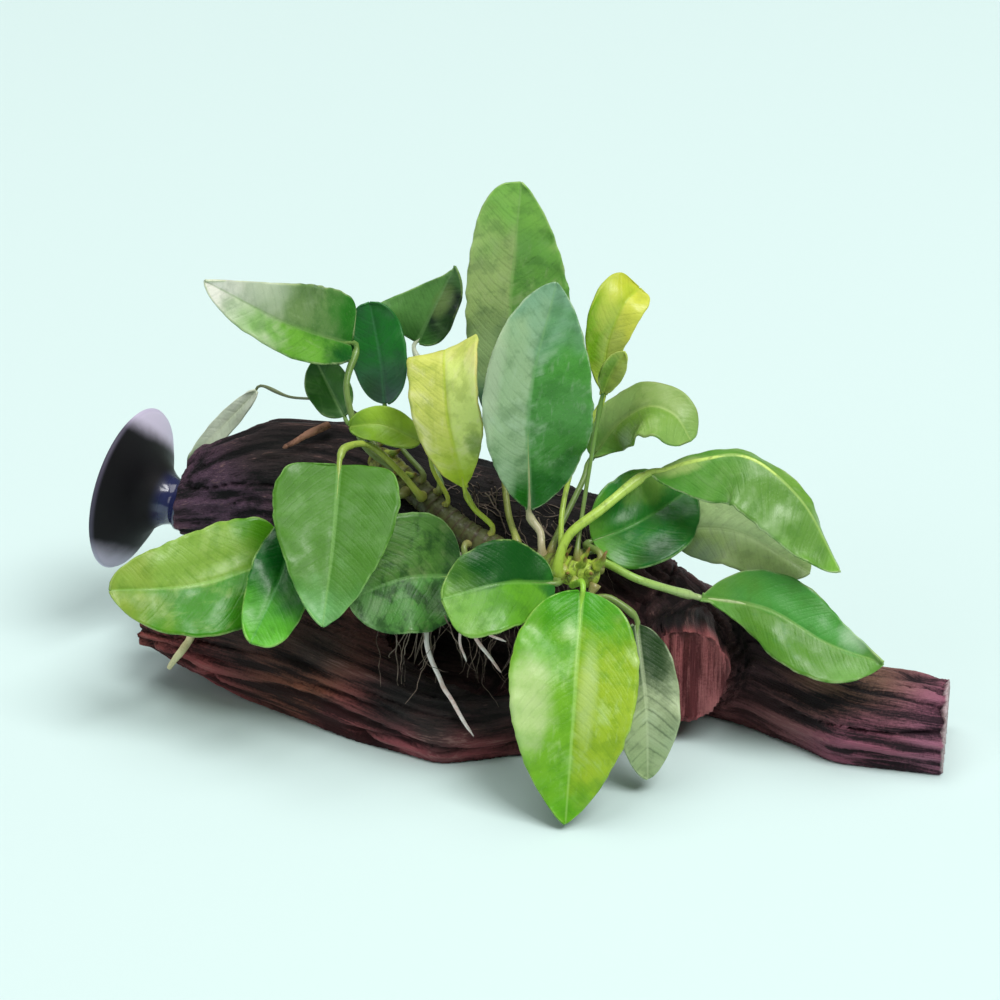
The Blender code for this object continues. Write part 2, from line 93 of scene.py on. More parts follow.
def make_camera():
    data = bpy.data.cameras.new("camera")
    data.lens = LENS_MM
    data.sensor_width = SENSOR_MM
    data.clip_start = NEAR_CLIP
    camera = placed("camera", data)
    back = Vector((0, -math.cos(CAMERA_ELEVATION), math.sin(CAMERA_ELEVATION)))
    camera.location = CAMERA_LOOKS_AT + back * CAMERA_DISTANCE
    camera.rotation_euler = (-back).to_track_quat('-Z', 'Y').to_euler()
    bpy.context.scene.camera = camera


make_camera()
print("camera", CAMERA_DISTANCE, "m away")

# %% Tones
def tone(red, green, blue):
    """A colour given as 0 to 255, as a shader wants it."""
    shares = [value / 255 for value in (red, green, blue)]
    return (*[s / 12.92 if s <= 0.04045 else ((s + 0.055) / 1.055) ** 2.4 for s in shares], 1.0)


# %% Soft lights and the floor
STUDIO_LIGHTS = {            # place in m, width in m, watts
    "key": ((2.0, -1.8, 4.6), 2.6, 222.0),
    "overhead": ((-0.6, 0.8, 5.0), 4.0, 130.0),
    "from_left": ((-3.4, -2.2, 2.6), 2.4, 26.0),
}
SKY = tone(236, 250, 248)
SKY_STRENGTH = 0.15
FLOOR_TONE = tone(210, 231, 228)
FLOOR_RADIUS = 4
FLOOR_DROP = 0.1 * MM


def make_studio():
    for name, (place, width, watts) in STUDIO_LIGHTS.items():
        data = bpy.data.lights.new(name, 'AREA')
        data.size = width
        data.energy = watts
        lamp = placed(name, data)
        lamp.location = place
        lamp.rotation_euler = (CAMERA_LOOKS_AT - Vector(place)).to_track_quat('-Z', 'Y').to_euler()
    world = bpy.data.worlds.new("sky")
    world.use_nodes = True
    background = world.node_tree.nodes["Background"].inputs
    background["Color"].default_value = SKY
    background["Strength"].default_value = SKY_STRENGTH
    bpy.context.scene.world = world
    bpy.context.scene.view_settings.view_transform = 'Standard'
    bm = bmesh.new()
    bmesh.ops.create_circle(bm, cap_ends=True, segments=96, radius=FLOOR_RADIUS)
    bmesh.ops.translate(bm, vec=(0, 0, -FLOOR_DROP), verts=bm.verts)
    floor = placed("floor", mesh_from("floor", bm))
    paper = bpy.data.materials.new("pale_paper")
    paper.use_nodes = True
    surface = paper.node_tree.nodes["Principled BSDF"].inputs
    surface["Base Color"].default_value = FLOOR_TONE
    surface["Roughness"].default_value = 0.9
    floor.data.materials.append(paper)


make_studio()
print(len(STUDIO_LIGHTS), "soft lights")

# %% [markdown]
# ## A shader written as sums
# A finish is a chain of small maths steps. Wiring each one by hand hides the idea, so a small class
# wraps a socket and lets Python's own signs add the nodes: `1 - mask` or `depth * 0.5` then read as
# they would on paper. Colours never go through these, because a Math node turns a colour grey.

# %% Sockets with signs
class Flow:
    """A number or colour that flows out of a node."""

    def __init__(self, finish, socket):
        self.finish = finish
        self.socket = socket

    def __add__(self, other):
        return self.finish.sum('ADD', self, other)

    def __sub__(self, other):
        return self.finish.sum('SUBTRACT', self, other)

    def __rsub__(self, other):
        return self.finish.sum('SUBTRACT', other, self)

    def __mul__(self, other):
        return self.finish.sum('MULTIPLY', self, other)

    def __truediv__(self, other):
        return self.finish.sum('DIVIDE', self, other)

    def __abs__(self):
        return self.finish.sum('ABSOLUTE', self, 0)

    __radd__ = __add__
    __rmul__ = __mul__


# %% The finish builder
class Finish:
    """A material and the nodes that feed its surface."""

    def __init__(self, name, **constants):
        self.material = bpy.data.materials.new(name)
        self.material.use_nodes = True
        self.tree = self.material.node_tree
        self.surface = self.tree.nodes["Principled BSDF"]
        for socket, value in constants.items():
            self.surface.inputs[socket.replace("_", " ")].default_value = value

    def node(self, kind, settings, inputs, output=0):
        """Add a node, set it up, and fill its sockets with values or flows."""
        made = self.tree.nodes.new(kind)
        for name, value in settings.items():
            setattr(made, name, value)
        for name, value in inputs.items():
            if isinstance(value, Flow):
                self.tree.links.new(value.socket, made.inputs[name])
            else:
                made.inputs[name].default_value = value
        return Flow(self, made.outputs[output])

    def sum(self, operation, first, second):
        return self.node('ShaderNodeMath', {'operation': operation}, {0: first, 1: second})

    def clamped(self, value):
        return self.node('ShaderNodeClamp', {}, {0: value})

    def smooth(self, value, low, high):
        """0 at low, 1 at high, with soft ends."""
        return self.node('ShaderNodeMapRange', {'interpolation_type': 'SMOOTHSTEP'},
                         {'Value': value, 'From Min': low, 'From Max': high})

    def zigzag(self, value, top):
        """Runs from 0 up to top and back, over and over."""
        return self.sum('PINGPONG', value, top)

    def lines(self, value, pitch, width):
        """Thin lines with soft sides, one for each pitch, at half of it."""
        return self.smooth(self.zigzag(value, pitch / 2), pitch / 2 - width, pitch / 2)

    def blend(self, share, first, second):
        """A colour between two. Each is a flow, or the 0 to 255 of a colour picker."""
        first, second = (end if isinstance(end, Flow) else tone(*end) for end in (first, second))
        return self.node('ShaderNodeMix', {'data_type': 'RGBA'}, {0: share, 6: first, 7: second}, 2)

    def attribute(self, name, output='Vector'):
        return self.node('ShaderNodeAttribute', {'attribute_name': name}, {}, output)

    def parts(self, vector):
        """The three numbers of a vector."""
        split = self.node('ShaderNodeSeparateXYZ', {}, {0: vector})
        return [Flow(self, socket) for socket in split.socket.node.outputs]

    def stretched(self, vector, scale, shift=(0, 0, 0)):
        moved = self.node('ShaderNodeVectorMath', {'operation': 'ADD'}, {0: vector, 1: shift})
        return self.node('ShaderNodeVectorMath', {'operation': 'MULTIPLY'}, {0: moved, 1: scale})

    def cloud(self, vector, scale, detail, roughness=0.55):
        """Soft noise, mostly between 0.3 and 0.7."""
        return self.node('ShaderNodeTexNoise', {}, {'Vector': vector, 'Scale': scale, 'Detail': detail,
                                                    'Roughness': roughness})

    def place(self):
        return self.node('ShaderNodeTexCoord', {}, {}, 'Object')

    def feed(self, socket, flow):
        self.tree.links.new(flow.socket, self.surface.inputs[socket])

    def skin(self, colour, roughness, height, distance):
        """Feed the surface. The bumps come from a height, where 1 stands distance above 0."""
        self.feed('Base Color', colour)
        self.feed('Roughness', roughness)
        self.feed('Normal', self.node('ShaderNodeBump', {}, {'Strength': 1.0, 'Distance': distance,
                                                             'Height': height}))


# %% [markdown]
# ## Curves and rods
# Everything that grows here follows a curve: the arms of the wood, the creeping stem, the stalks, the
# midribs and the roots. One class reads such a curve by its share of length. A rod is then a row of
# circles along the curve, bridged into a skin. A Curve object with a bevel would do it too, but a
# bridged skin can carry an attribute that says how far along each point lies, which the finishes read.

# %% A smooth curve
def mm(points):
    """Points given in millimetres, as vectors in metres."""
    return [Vector(point) * MM for point in points]


class Rail:
    """A smooth curve through chosen points, read by its share of length, from 0 to 1."""

    STEPS = 16

    def __init__(self, points):
        ends = [points[0] * 2 - points[1]] + list(points) + [points[-1] * 2 - points[-2]]
        self.points = [points[0].copy()]
        for a, b, c, d in zip(ends, ends[1:], ends[2:], ends[3:]):
            for step in range(1, self.STEPS + 1):
                self.points.append(self.between(a, b, c, d, step / self.STEPS))
        self.lengths = [0.0]
        for start, end in zip(self.points, self.points[1:]):
            self.lengths.append(self.lengths[-1] + (end - start).length)

    @staticmethod
    def between(a, b, c, d, u):
        """Point at u from 0 to 1 between b and c."""
        return 0.5 * ((b * 2) + (c - a) * u + (a * 2 - b * 5 + c * 4 - d) * u ** 2
                      + (b * 3 - a - c * 3 + d) * u ** 3)

    def at(self, share):
        goal = min(max(share, 0.0), 1.0) * self.lengths[-1]
        index = 1
        while index < len(self.lengths) - 1 and self.lengths[index] < goal:
            index += 1
        span = self.lengths[index] - self.lengths[index - 1]
        return self.points[index - 1].lerp(self.points[index], (goal - self.lengths[index - 1]) / span)

    def along(self, share):
        """Direction of the curve at a share of its length."""
        return (self.at(share + 0.02) - self.at(share - 0.02)).normalized()


# %% A rod along a curve
def bridge_rings(bm, sides, rings):
    """Bridge rings into a closed skin. Each ring comes as its middle, its three axes, and its radius.
    Returns the points of every ring."""
    points = []
    before = []
    for middle, axes, radius in rings:
        matrix = Matrix(axes).transposed().to_4x4()
        matrix.translation = middle
        points.append(bmesh.ops.create_circle(bm, segments=sides, radius=radius, matrix=matrix)["verts"])
        edges = list(dict.fromkeys(edge for vertex in points[-1] for edge in vertex.link_edges))
        if before:
            bmesh.ops.bridge_loops(bm, edges=before + edges)
        else:
            bmesh.ops.contextual_create(bm, geom=edges)
        before = edges
    bmesh.ops.contextual_create(bm, geom=before)
    return points


def add_rod(bm, rail, radius_at, stations, sides):
    """A closed rod along a rail. Its attribute rod holds the distance from the start in mm, the share
    of the length, and the radius in mm."""
    layer = bm.verts.layers.float_vector.get("rod") or bm.verts.layers.float_vector.new("rod")
    side = rail.along(0).orthogonal().normalized()
    rings = []
    shares = [station / stations for station in range(stations + 1)]
    for share in shares:
        along = rail.along(share)
        side = (side - along * side.dot(along)).normalized()
        rings.append((rail.at(share), (side, along.cross(side), along), radius_at(share)))
    for share, (_, _, radius), ring in zip(shares, rings, bridge_rings(bm, sides, rings)):
        for vertex in ring:
            vertex[layer] = (share * rail.lengths[-1] / MM, share, radius / MM)


# %% A finished piece
def roughen(bm, size, height):
    """Push points in and out by a noise of that size and height in mm."""
    for vertex in bm.verts:
        vertex.co += vertex.normal * noise.noise(vertex.co / (size * MM)) * height * MM


def piece_from(name, bm, finishes, stands_for, slot, closed=True):
    """Turn a bmesh into a piece of the object, in the frame's own place."""
    bmesh.ops.translate(bm, vec=ORIGIN_SHIFT, verts=bm.verts)
    if closed:
        bmesh.ops.recalc_face_normals(bm, faces=bm.faces)
    piece = placed(name, mesh_from(name, bm))
    piece.data.shade_smooth()
    for finish in finishes:
        piece.data.materials.append(finish.material)
    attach(piece, "root")
    if stands_for:
        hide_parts(*stands_for)
    return piece


# %% [markdown]
# ## The driftwood
# Driftwood is a branch that lost its bark and was worn along its grain: long ridges stand between dark
# cracks, and the forks swirl. The arms are drawn as oval rings, merged and smoothed by a voxel remesh,
# and cut with the saw's planes, as in the solids. A second, finer remesh then gives enough points to
# carve the grain in the mesh itself. Sculpting by hand would look as good, but a rule that follows each
# arm's own direction can be repeated and measured.

# %% Tables of the wood, in mm
WOOD_ARMS = {    # x, y, z of the middle, half depth, half height
    "log": [(-91, 33, 37, 8, 8), (-84, 31, 38, 9.5, 9.5), (-77, 31, 40, 12, 14), (-61, 31, 43, 16, 18),
            (-42, 28, 42, 20, 19.5), (-20, 20, 34, 23, 22), (0, 14, 31, 23, 22.5), (14, 11, 28, 21, 23),
            (28, 5, 19, 20, 18), (43, 3, 12, 16, 17), (61, -8, 10.5, 12.5, 14.5), (80, -22, 7.5, 15, 13.5),
            (102, -27, 6, 13.5, 12), (110, -28, 5.5, 13.5, 12)],
    "front_arm": [(28, -13, 8, 14, 14), (12, -19.5, 6, 12.5, 11.5), (-3, -19, 5, 12, 10.5),
                  (-18, -21.5, 5, 13, 11), (-34, -14.5, 8, 12, 13.5), (-54, -2, 11, 13.5, 15),
                  (-75, 8, 12.5, 12, 11.5), (-93, 12, 15, 8.5, 7), (-101, 15, 15.5, 8, 6.5)],
    "foot": [(-46, 10, 14, 16, 16), (-20, 8, 13, 20, 15), (10, 0, 12, 22, 14), (34, 0, 12, 17, 13)],
    "knob": [(38, 4, 18, 12.5, 15), (38, -10, 18, 12, 14.5), (38.5, -24, 18.5, 11.5, 14),
             (39, -30, 18.5, 11.5, 14)],
}
WOOD_SAWN_OFF = {
    "right_end": dict(low=(54.7, -70, -10), high=(80, 70, 80), turn=-10, corner=(51, 0, 0)),
    "knob_end": dict(low=(-11.5, -20, -10), high=(17, 0, 80), turn=0, corner=(39, -24.5, 0)),
    "front_arm_end": dict(low=(-125, -40, -10), high=(-101.5, 4, 80), turn=-23, corner=(4, -21, 0)),
    "branch_end": dict(low=(-80, -21, -10), high=(-48.5, 30, 80), turn=-22, corner=(-36, 20, 0)),
}
HOLLOW_CENTRE = (-17, -12, 15)
HOLLOW_HALF = (18, 9.5, 11)
HOLLOW_TURN = -20
RHIZOME = [(18, -21, 44.5), (8, -15, 43.5), (-2, -9, 43.5), (-14, -3, 47), (-26, 6, 54.5), (-36, 13, 60.5)]
RHIZOME_RADIUS = 3.4
WOOD_SIDES = 14
WOOD_VOXEL = 2.2
WOOD_FINE_VOXEL = 0.8
WOOD_RELIEF = 1.5
WOOD_RELIEF_SIZE = 22.0
SOFTEN_FACTOR = 0.5
SOFTEN_ROUNDS = 6
GROOVE_NARROWER = 0.2       # by this its radius is less than the creeping stem's


# %% Helpers that are deleted
def guide_from(name, bm):
    """A helper object that is deleted before the end."""
    bmesh.ops.recalc_face_normals(bm, faces=bm.faces)
    return placed(name, mesh_from(name, bm))


def taken_back(things):
    """The first helper's mesh with its modifiers applied, as a bmesh. All the helpers are deleted."""
    graph = bpy.context.evaluated_depsgraph_get()
    bm = bmesh.new()
    bm.from_mesh(bpy.data.meshes.new_from_object(things[0].evaluated_get(graph)))
    for thing in things:
        bpy.data.objects.remove(thing)
    bm.normal_update()
    return bm


# %% Arms of the wood
def add_arm(bm, stations):
    """One closed arm with an oval ring at every station."""
    rail = Rail(mm([station[:3] for station in stations]))
    rings = []
    for index, (x, y, z, depth, height) in enumerate(stations):
        along = rail.along(rail.lengths[index * Rail.STEPS] / rail.lengths[-1])
        side = along.cross(UP).normalized()
        axes = (side * depth * MM, side.cross(along) * -height * MM, along)
        rings.append((Vector((x, y, z)) * MM, axes, 1))
    bridge_rings(bm, WOOD_SIDES, rings)


# %% Cutters
def hollow_cutter():
    bm = bmesh.new()
    bmesh.ops.create_icosphere(bm, subdivisions=3, radius=1)
    bmesh.ops.scale(bm, vec=Vector(HOLLOW_HALF) * MM, verts=bm.verts)
    bmesh.ops.rotate(bm, matrix=Matrix.Rotation(math.radians(HOLLOW_TURN), 3, 'Z'), verts=bm.verts)
    bmesh.ops.translate(bm, vec=Vector(HOLLOW_CENTRE) * MM, verts=bm.verts)
    return guide_from("hollow", bm)


def saw_cutter(name, low, high, turn, corner):
    bm = bmesh.new()
    bmesh.ops.create_cube(bm, size=1)
    bmesh.ops.scale(bm, vec=(Vector(high) - Vector(low)) * MM, verts=bm.verts)
    bmesh.ops.translate(bm, vec=(Vector(high) + Vector(low)) * MM / 2, verts=bm.verts)
    bmesh.ops.rotate(bm, matrix=Matrix.Rotation(math.radians(turn), 3, 'Z'), verts=bm.verts)
    bmesh.ops.translate(bm, vec=Vector(corner) * MM, verts=bm.verts)
    return guide_from(name, bm)


def groove_cutter():
    """The bed that the creeping stem has pressed into the wood."""
    bm = bmesh.new()
    radius = (RHIZOME_RADIUS - GROOVE_NARROWER) * MM
    add_rod(bm, Rail(mm(RHIZOME)), lambda share: radius, stations=24, sides=16)
    return guide_from("groove", bm)


# %% Rough wood
def sized_wood():
    """The whole wood at its real size, cut and with an even fine mesh."""
    bm = bmesh.new()
    for stations in WOOD_ARMS.values():
        add_arm(bm, stations)
    rough = guide_from("rough_wood", bm)
    merged = rough.modifiers.new("merge", 'REMESH')
    merged.mode = 'VOXEL'
    merged.voxel_size = WOOD_VOXEL * MM
    soft = rough.modifiers.new("soften", 'SMOOTH')
    soft.factor = SOFTEN_FACTOR
    soft.iterations = SOFTEN_ROUNDS
    bm = taken_back([rough])
    roughen(bm, WOOD_RELIEF_SIZE, WOOD_RELIEF)
    bmesh.ops.recalc_face_normals(bm, faces=bm.faces)
    block = guide_from("cut_wood", bm)
    cutters = [hollow_cutter(), groove_cutter()]
    cutters += [saw_cutter(name, **box) for name, box in WOOD_SAWN_OFF.items()]
    cutters.append(saw_cutter("floor_cut", (-200, -200, -60), (200, 200, 0), 0, (0, 0, 0)))
    for cutter in cutters:
        cut = block.modifiers.new(cutter.name, 'BOOLEAN')
        cut.operation = 'DIFFERENCE'
        cut.solver = 'EXACT'
        cut.object = cutter
    fine = block.modifiers.new("fine", 'REMESH')
    fine.mode = 'VOXEL'
    fine.voxel_size = WOOD_FINE_VOXEL * MM
    return taken_back([block] + cutters)


wood = sized_wood()
print("wood has", len(wood.verts), "points before carving")

# %% [markdown]
# ### Grain that follows each arm
# Every point of the wood asks which arm it belongs to, and takes three numbers from it: how far along
# the arm it lies, and its two offsets from the arm's middle. Noise that is drawn out along the first
# number gives ridges and cracks that run lengthwise. Near a fork the numbers of two arms are mixed, and
# the grain swirls there as it does in real wood.

# %% Grain coordinates
GRAIN_SAMPLES = 120
FORK_SOFTNESS = 0.16


class Arm:
    """One arm's middle line, ready to be searched."""

    def __init__(self, stations):
        rail = Rail(mm([station[:3] for station in stations]))
        shares = [rail.lengths[index * Rail.STEPS] / rail.lengths[-1] for index in range(len(stations))]
        sizes = [(station[3] + station[4]) / 2 for station in stations]
        self.tree = kdtree.KDTree(GRAIN_SAMPLES + 1)
        self.samples = []
        for index in range(GRAIN_SAMPLES + 1):
            share = index / GRAIN_SAMPLES
            middle = rail.at(share)
            along = rail.along(share)
            side = along.cross(UP).normalized()
            size = float(np.interp(share, shares, sizes)) * MM
            self.samples.append((middle, along, side, side.cross(along), size, share * rail.lengths[-1]))
            self.tree.insert(middle, index)
        self.tree.balance()

    def grain(self, point):
        """Closeness (0 at the middle, 1 at the skin) and the three grain numbers in mm."""
        middle, along, side, lift, size, distance = self.samples[self.tree.find(point)[1]]
        offset = point - middle
        numbers = Vector((distance + offset.dot(along), offset.dot(side), offset.dot(lift))) / MM
        return offset.length / size, numbers


def grain_at(point, arms):
    """The grain numbers of the nearest arm, mixed softly near a fork."""
    found = [arm.grain(point) for arm in arms]
    nearest = min(closeness for closeness, _ in found)
    weights = [math.exp(-((closeness - nearest) / FORK_SOFTNESS) ** 2) for closeness, _ in found]
    total = Vector()
    for weight, (_, numbers) in zip(weights, found):
        total += numbers * weight
    return total / sum(weights)


arms = [Arm(stations) for stations in WOOD_ARMS.values()]
print("arms:", ", ".join(WOOD_ARMS))

# %% Measures of the grain, in mm
CRACK_DEPTH = 1.7
RIDGE_DEPTH = 1.7
FIBRE_DEPTH = 0.5
BROAD_RIDGES = (4.4, 6, 0)      # size in mm, stretch along the grain, and seed of a noise
FINE_RIDGES = (2.2, 8, 40)
FIBRES = (1.2, 11, 90)
CRACK_LINES = (6.0, 8, 70)
CRACKED_PARTS = (14, 4, 20)
CRACK_WIDTH = 0.10
SAWN_DEPTHS = (0.6, 1.4)        # mm from the saw's plane where its face ends
SAWN_FACINGS = (0.6, 0.85)
OFF_FACE = 9.0
GROUND_FADE = (0.3, 1.8)        # mm over the ground where the carving starts and is full
GROUND_SNAP = 0.25

print("cracks up to", CRACK_DEPTH, "mm and ridges up to", RIDGE_DEPTH, "mm deep")


# %% Grain noise and sawn faces
def drawn_out(grain, size, stretch, seed):
    """Noise whose spots are size mm wide and stretch times as long along the grain."""
    return noise.noise(Vector((grain.x / stretch + seed, grain.y, grain.z)) / size)


def step(value, low, high):
    """0 at low, 1 at high, with soft ends."""
    share = min(max((value - low) / (high - low), 0.0), 1.0)
    return share * share * (3 - 2 * share)


def sawn_shares(point, normal):
    """How much a point lies on the right arm's and on the knob's sawn face, from 0 to 1."""
    shares = []
    for box in (WOOD_SAWN_OFF["right_end"], WOOD_SAWN_OFF["knob_end"]):
        turn = Matrix.Rotation(math.radians(-box["turn"]), 3, 'Z')
        local = turn @ (point / MM - Vector(box["corner"]))
        facing = turn @ normal
        if box is WOOD_SAWN_OFF["right_end"]:
            off_plane, outwards = abs(local.x - box["low"][0]), facing.x
        elif box["low"][0] < local.x < box["high"][0]:
            off_plane, outwards = abs(local.y - box["high"][1]), -facing.y
        else:
            off_plane, outwards = OFF_FACE, 0.0
        shares.append((1 - step(off_plane, *SAWN_DEPTHS)) * step(outwards, *SAWN_FACINGS))
    return shares


# %% Carve the grain
def carve(bm):
    """Sink cracks and hollows between the ridges. Nothing stands out past the solids."""
    grain_layer = bm.verts.layers.float_vector.new("grain")
    state_layer = bm.verts.layers.float_vector.new("state")   # height, sawn share, crack
    moves = []
    for vertex in bm.verts:
        grain = grain_at(vertex.co, arms)
        sawn, knob = sawn_shares(vertex.co, vertex.normal)
        if knob > 0.5:
            grain = Vector((vertex.co.z, vertex.co.x, vertex.co.y)) / MM
        ridge = step(drawn_out(grain, *BROAD_RIDGES), -0.34, 0.24)
        second = step(drawn_out(grain, *FINE_RIDGES), -0.30, 0.30)
        fibre = 0.5 + 0.5 * drawn_out(grain, *FIBRES)
        line = 1 - min(1.0, abs(drawn_out(grain, *CRACK_LINES)) / CRACK_WIDTH)
        crack = line * step(drawn_out(grain, *CRACKED_PARTS), -0.15, 0.15)
        height = 0.5 * ridge + 0.5 * second
        depth = RIDGE_DEPTH * (1 - height) * (0.55 + 0.45 * ridge) + CRACK_DEPTH * crack
        depth += FIBRE_DEPTH * (1 - fibre)
        free = step(vertex.co.z / MM, *GROUND_FADE) if vertex.normal.z < 0.3 else 1.0
        depth *= (1 - 0.75 * sawn) * free
        moves.append(vertex.normal * -depth * MM)
        vertex[grain_layer] = grain
        vertex[state_layer] = (height * (1 - 0.8 * crack) * (0.75 + 0.25 * fibre), sawn, crack)
    for vertex, move in zip(bm.verts, moves):
        vertex.co += move
        if vertex.co.z < GROUND_SNAP * MM:
            vertex.co.z = 0.0


carve(wood)
print("wood carved, up to", round(max(vertex.co.z for vertex in wood.verts) / MM, 1), "mm high")

# %% [markdown]
# ### Tones and painted shade of the wood
# Old driftwood is never one brown. Here the left arm is red brown, the sawn knob pinkish, and the back
# branch violet grey. Other anchors are painted shade: the hollow behind the front lip is nearly black,
# and so are the tops of the trunk, the arms and the knob where the leaves shade them. A few anchor points
# hold a tone for ridges and one for cracks, and every point of the mesh takes a mixture of the nearest
# anchors. A painted image would need an unwrapped surface, and could not be made again at another size.

# %% Anchors of tone
# Many of the darkest anchors below are painted shade: tops under the leaves, and the hollow.
WOOD_TONES_AND_SHADE = [       # place in mm, tone of ridges, tone of cracks
    ((-92, 8, 18), (150, 76, 70), (40, 9, 9)),
    ((-80, 2, 8), (166, 80, 82), (60, 12, 16)),
    # Top of the front arm under the leaves, this line and the next: painted shade.
    ((-70, 0, 22), (58, 36, 30), (8, 3, 3)),
    ((-50, -14, 20), (56, 38, 32), (8, 4, 4)),
    ((-50, -14, 10), (152, 88, 64), (44, 13, 9)),
    ((-45, -20, 3), (160, 80, 84), (56, 12, 16)),
    ((-28, -34, 3), (168, 84, 92), (60, 13, 22)),
    # Top of the front arm by the hollow, these five lines: painted shade under the leaves.
    ((-28, -28, 14), (24, 16, 14), (4, 2, 2)),
    ((-18, -28, 15), (18, 12, 11), (3, 1, 1)),
    ((-6, -28, 15), (18, 12, 11), (3, 1, 1)),
    ((-22, -32, 10), (44, 26, 24), (6, 2, 2)),
    ((-8, -32, 10), (44, 26, 26), (6, 2, 2)),
    ((-8, -36, 4), (170, 84, 90), (64, 14, 20)),
    ((39, -30, 14), (190, 112, 114), (104, 40, 44)),
    ((39, -26, 25), (176, 96, 96), (90, 32, 36)),
    # Tops of the knob and of the right arm, these two lines: painted shade under the leaves.
    ((38, -16, 30), (36, 24, 26), (6, 2, 5)),
    ((58, -12, 22), (54, 30, 38), (8, 2, 7)),
    ((80, -34, 6), (146, 78, 100), (30, 6, 18)),
    ((78, -26, 18), (116, 84, 66), (12, 5, 8)),
    ((102, -38, 8), (160, 96, 120), (40, 10, 28)),
    # Tops of the trunk and of the back branch, these three lines: painted shade under the leaves.
    ((10, 0, 50), (26, 18, 17), (4, 2, 2)),
    ((-20, 12, 54), (26, 18, 17), (4, 2, 2)),
    ((-60, 20, 62), (44, 30, 28), (4, 2, 2)),
    ((-76, 18, 42), (88, 60, 82), (9, 4, 10)),
    # The hollow behind the front lip: painted shade, nearly black.
    ((-17, -12, 17), (14, 10, 9), (2, 1, 1)),
    ((-30, 60, 30), (92, 56, 52), (14, 6, 7)),
    ((60, 20, 16), (90, 54, 58), (14, 6, 9)),
]
TONE_FALL = 4.0             # the power by which an anchor's weight falls with distance


# Mixes the anchors' tones, their painted shade included, into two colour attributes.
def paint_wood(bm):
    ridge_layer = bm.verts.layers.float_color.new("ridge_tone_and_shade")
    crack_layer = bm.verts.layers.float_color.new("crack_tone_and_shade")
    places = np.array([place for place, _, _ in WOOD_TONES_AND_SHADE]) * MM
    ridges = np.array([tone(*ridge) for _, ridge, _ in WOOD_TONES_AND_SHADE])
    cracks = np.array([tone(*crack) for _, _, crack in WOOD_TONES_AND_SHADE])
    points = np.array([vertex.co for vertex in bm.verts])
    gaps = np.linalg.norm(points[:, None] - places[None], axis=2)
    weights = (gaps + MM) ** -TONE_FALL
    weights /= weights.sum(axis=1, keepdims=True)
    for vertex, ridge, crack in zip(bm.verts, weights @ ridges, weights @ cracks):
        vertex[ridge_layer] = ridge
        vertex[crack_layer] = crack


paint_wood(wood)
print("tones from", len(WOOD_TONES_AND_SHADE), "anchors")

# %% Wood finish
PALE_END = (0.09, 0.1)      # x in m where the right arm's paler sawn face starts and is full


def wood_finish():
    finish = Finish("weathered_wood", IOR=1.45)
    grain = finish.attribute("grain")
    height, sawn, _ = finish.parts(finish.attribute("state"))
    streak = finish.cloud(finish.stretched(grain, (0.09, 1, 1)), 0.45, 5, 0.62)
    fibre = finish.cloud(finish.stretched(grain, (0.05, 1, 1)), 2.4, 3, 0.6)
    speck = finish.cloud(grain, 1.6, 4, 0.7)
    light = finish.smooth(height * 0.4 + streak * 0.9 + fibre * 0.4 + speck * 0.3, 0.80, 1.16)
    colour = finish.blend(light, finish.attribute("crack_tone_and_shade", 'Color'),
                          finish.attribute("ridge_tone_and_shade", 'Color'))
    worn = finish.smooth(fibre * 0.6 + streak * 0.5 + height * 0.25, 0.78, 0.92)
    colour = finish.blend(worn * 0.25 * light, colour, (206, 160, 150))
    rings = finish.zigzag(finish.node('ShaderNodeVectorMath', {'operation': 'LENGTH'},
                                      {0: finish.stretched(grain, (0, 1, 1))}, 'Value') + speck * 2, 0.6)
    sawn_colour = finish.blend(finish.smooth(rings * 0.6 + fibre + streak, 0.8, 1.5), (158, 130, 130),
                               (212, 194, 196))
    along_x, _, _ = finish.parts(finish.place())
    pale_end = sawn * finish.smooth(along_x, *PALE_END)
    colour = finish.blend(pale_end, colour, sawn_colour)
    finish.skin(colour, finish.clamped(0.78 - light * 0.28 + speck * 0.1),
                fibre * 0.7 + streak * 0.4 + speck * 0.5, 0.8 * MM)
    return finish


driftwood = piece_from("driftwood", wood.copy(), [wood_finish()],
                       ["driftwood_trunk", "driftwood_right_arm", "driftwood_front_knob",
                        "driftwood_left_front_arm", "driftwood_left_back_branch"], "driftwood")
wood_skin = BVHTree.FromBMesh(wood)
wood.free()
print("driftwood has", len(driftwood.data.polygons), "faces")

# %% [markdown]
# ## The suction cup
# The cup is soft clear plastic that was tinted nearly black: a shallow bell, a neck and a button that
# sits in the wood. It is round, so one half outline is turned about its axis. The outline is smoothed
# by the same curve as the rest, with its hard corners kept between separate stretches.

# %% Table of the cup
CUP_CENTRE = Vector((-98.8, 39.0, 38.5)) * MM
CUP_AXIS = Vector((-0.905, 0.395, 0.12)).normalized()
CUP_STEPS = 96
CUP_SPACING = 0.8
CUP_STRETCHES = [       # radius and height in mm, from the inner middle out over the rim to the button
    [(0, -6.4), (6, -5.8), (13, -3.4), (18.8, 0)],
    [(18.8, 0), (20.2, 0), (20.9, -0.25), (21, -0.6), (20.6, -1.2)],
    [(20.6, -1.2), (16, -3.9), (10.5, -6.9), (7.2, -10.2), (5.8, -13.4), (6.1, -14.9)],
    [(6.1, -14.9), (6.6, -15.4), (6.6, -18), (6.6, -20.5), (5.6, -21.5)],
    [(5.6, -21.5), (2.8, -21.5), (0, -21.5)],
]
# Two pale lilac patches on the disc, upper right and lower left, are painted light shining through the thin
# plastic.
CUP_LIT_THROUGH_SPANS = [      # a way from the cup's middle, and where the clear plastic starts and is full, in mm
    (Vector((0.35, 0.55, 0.75)), 11.0, 16.5),
    (Vector((-0.1, -0.5, -0.86)), 14.0, 19.5),
]
print(len(CUP_STRETCHES), "stretches of outline")


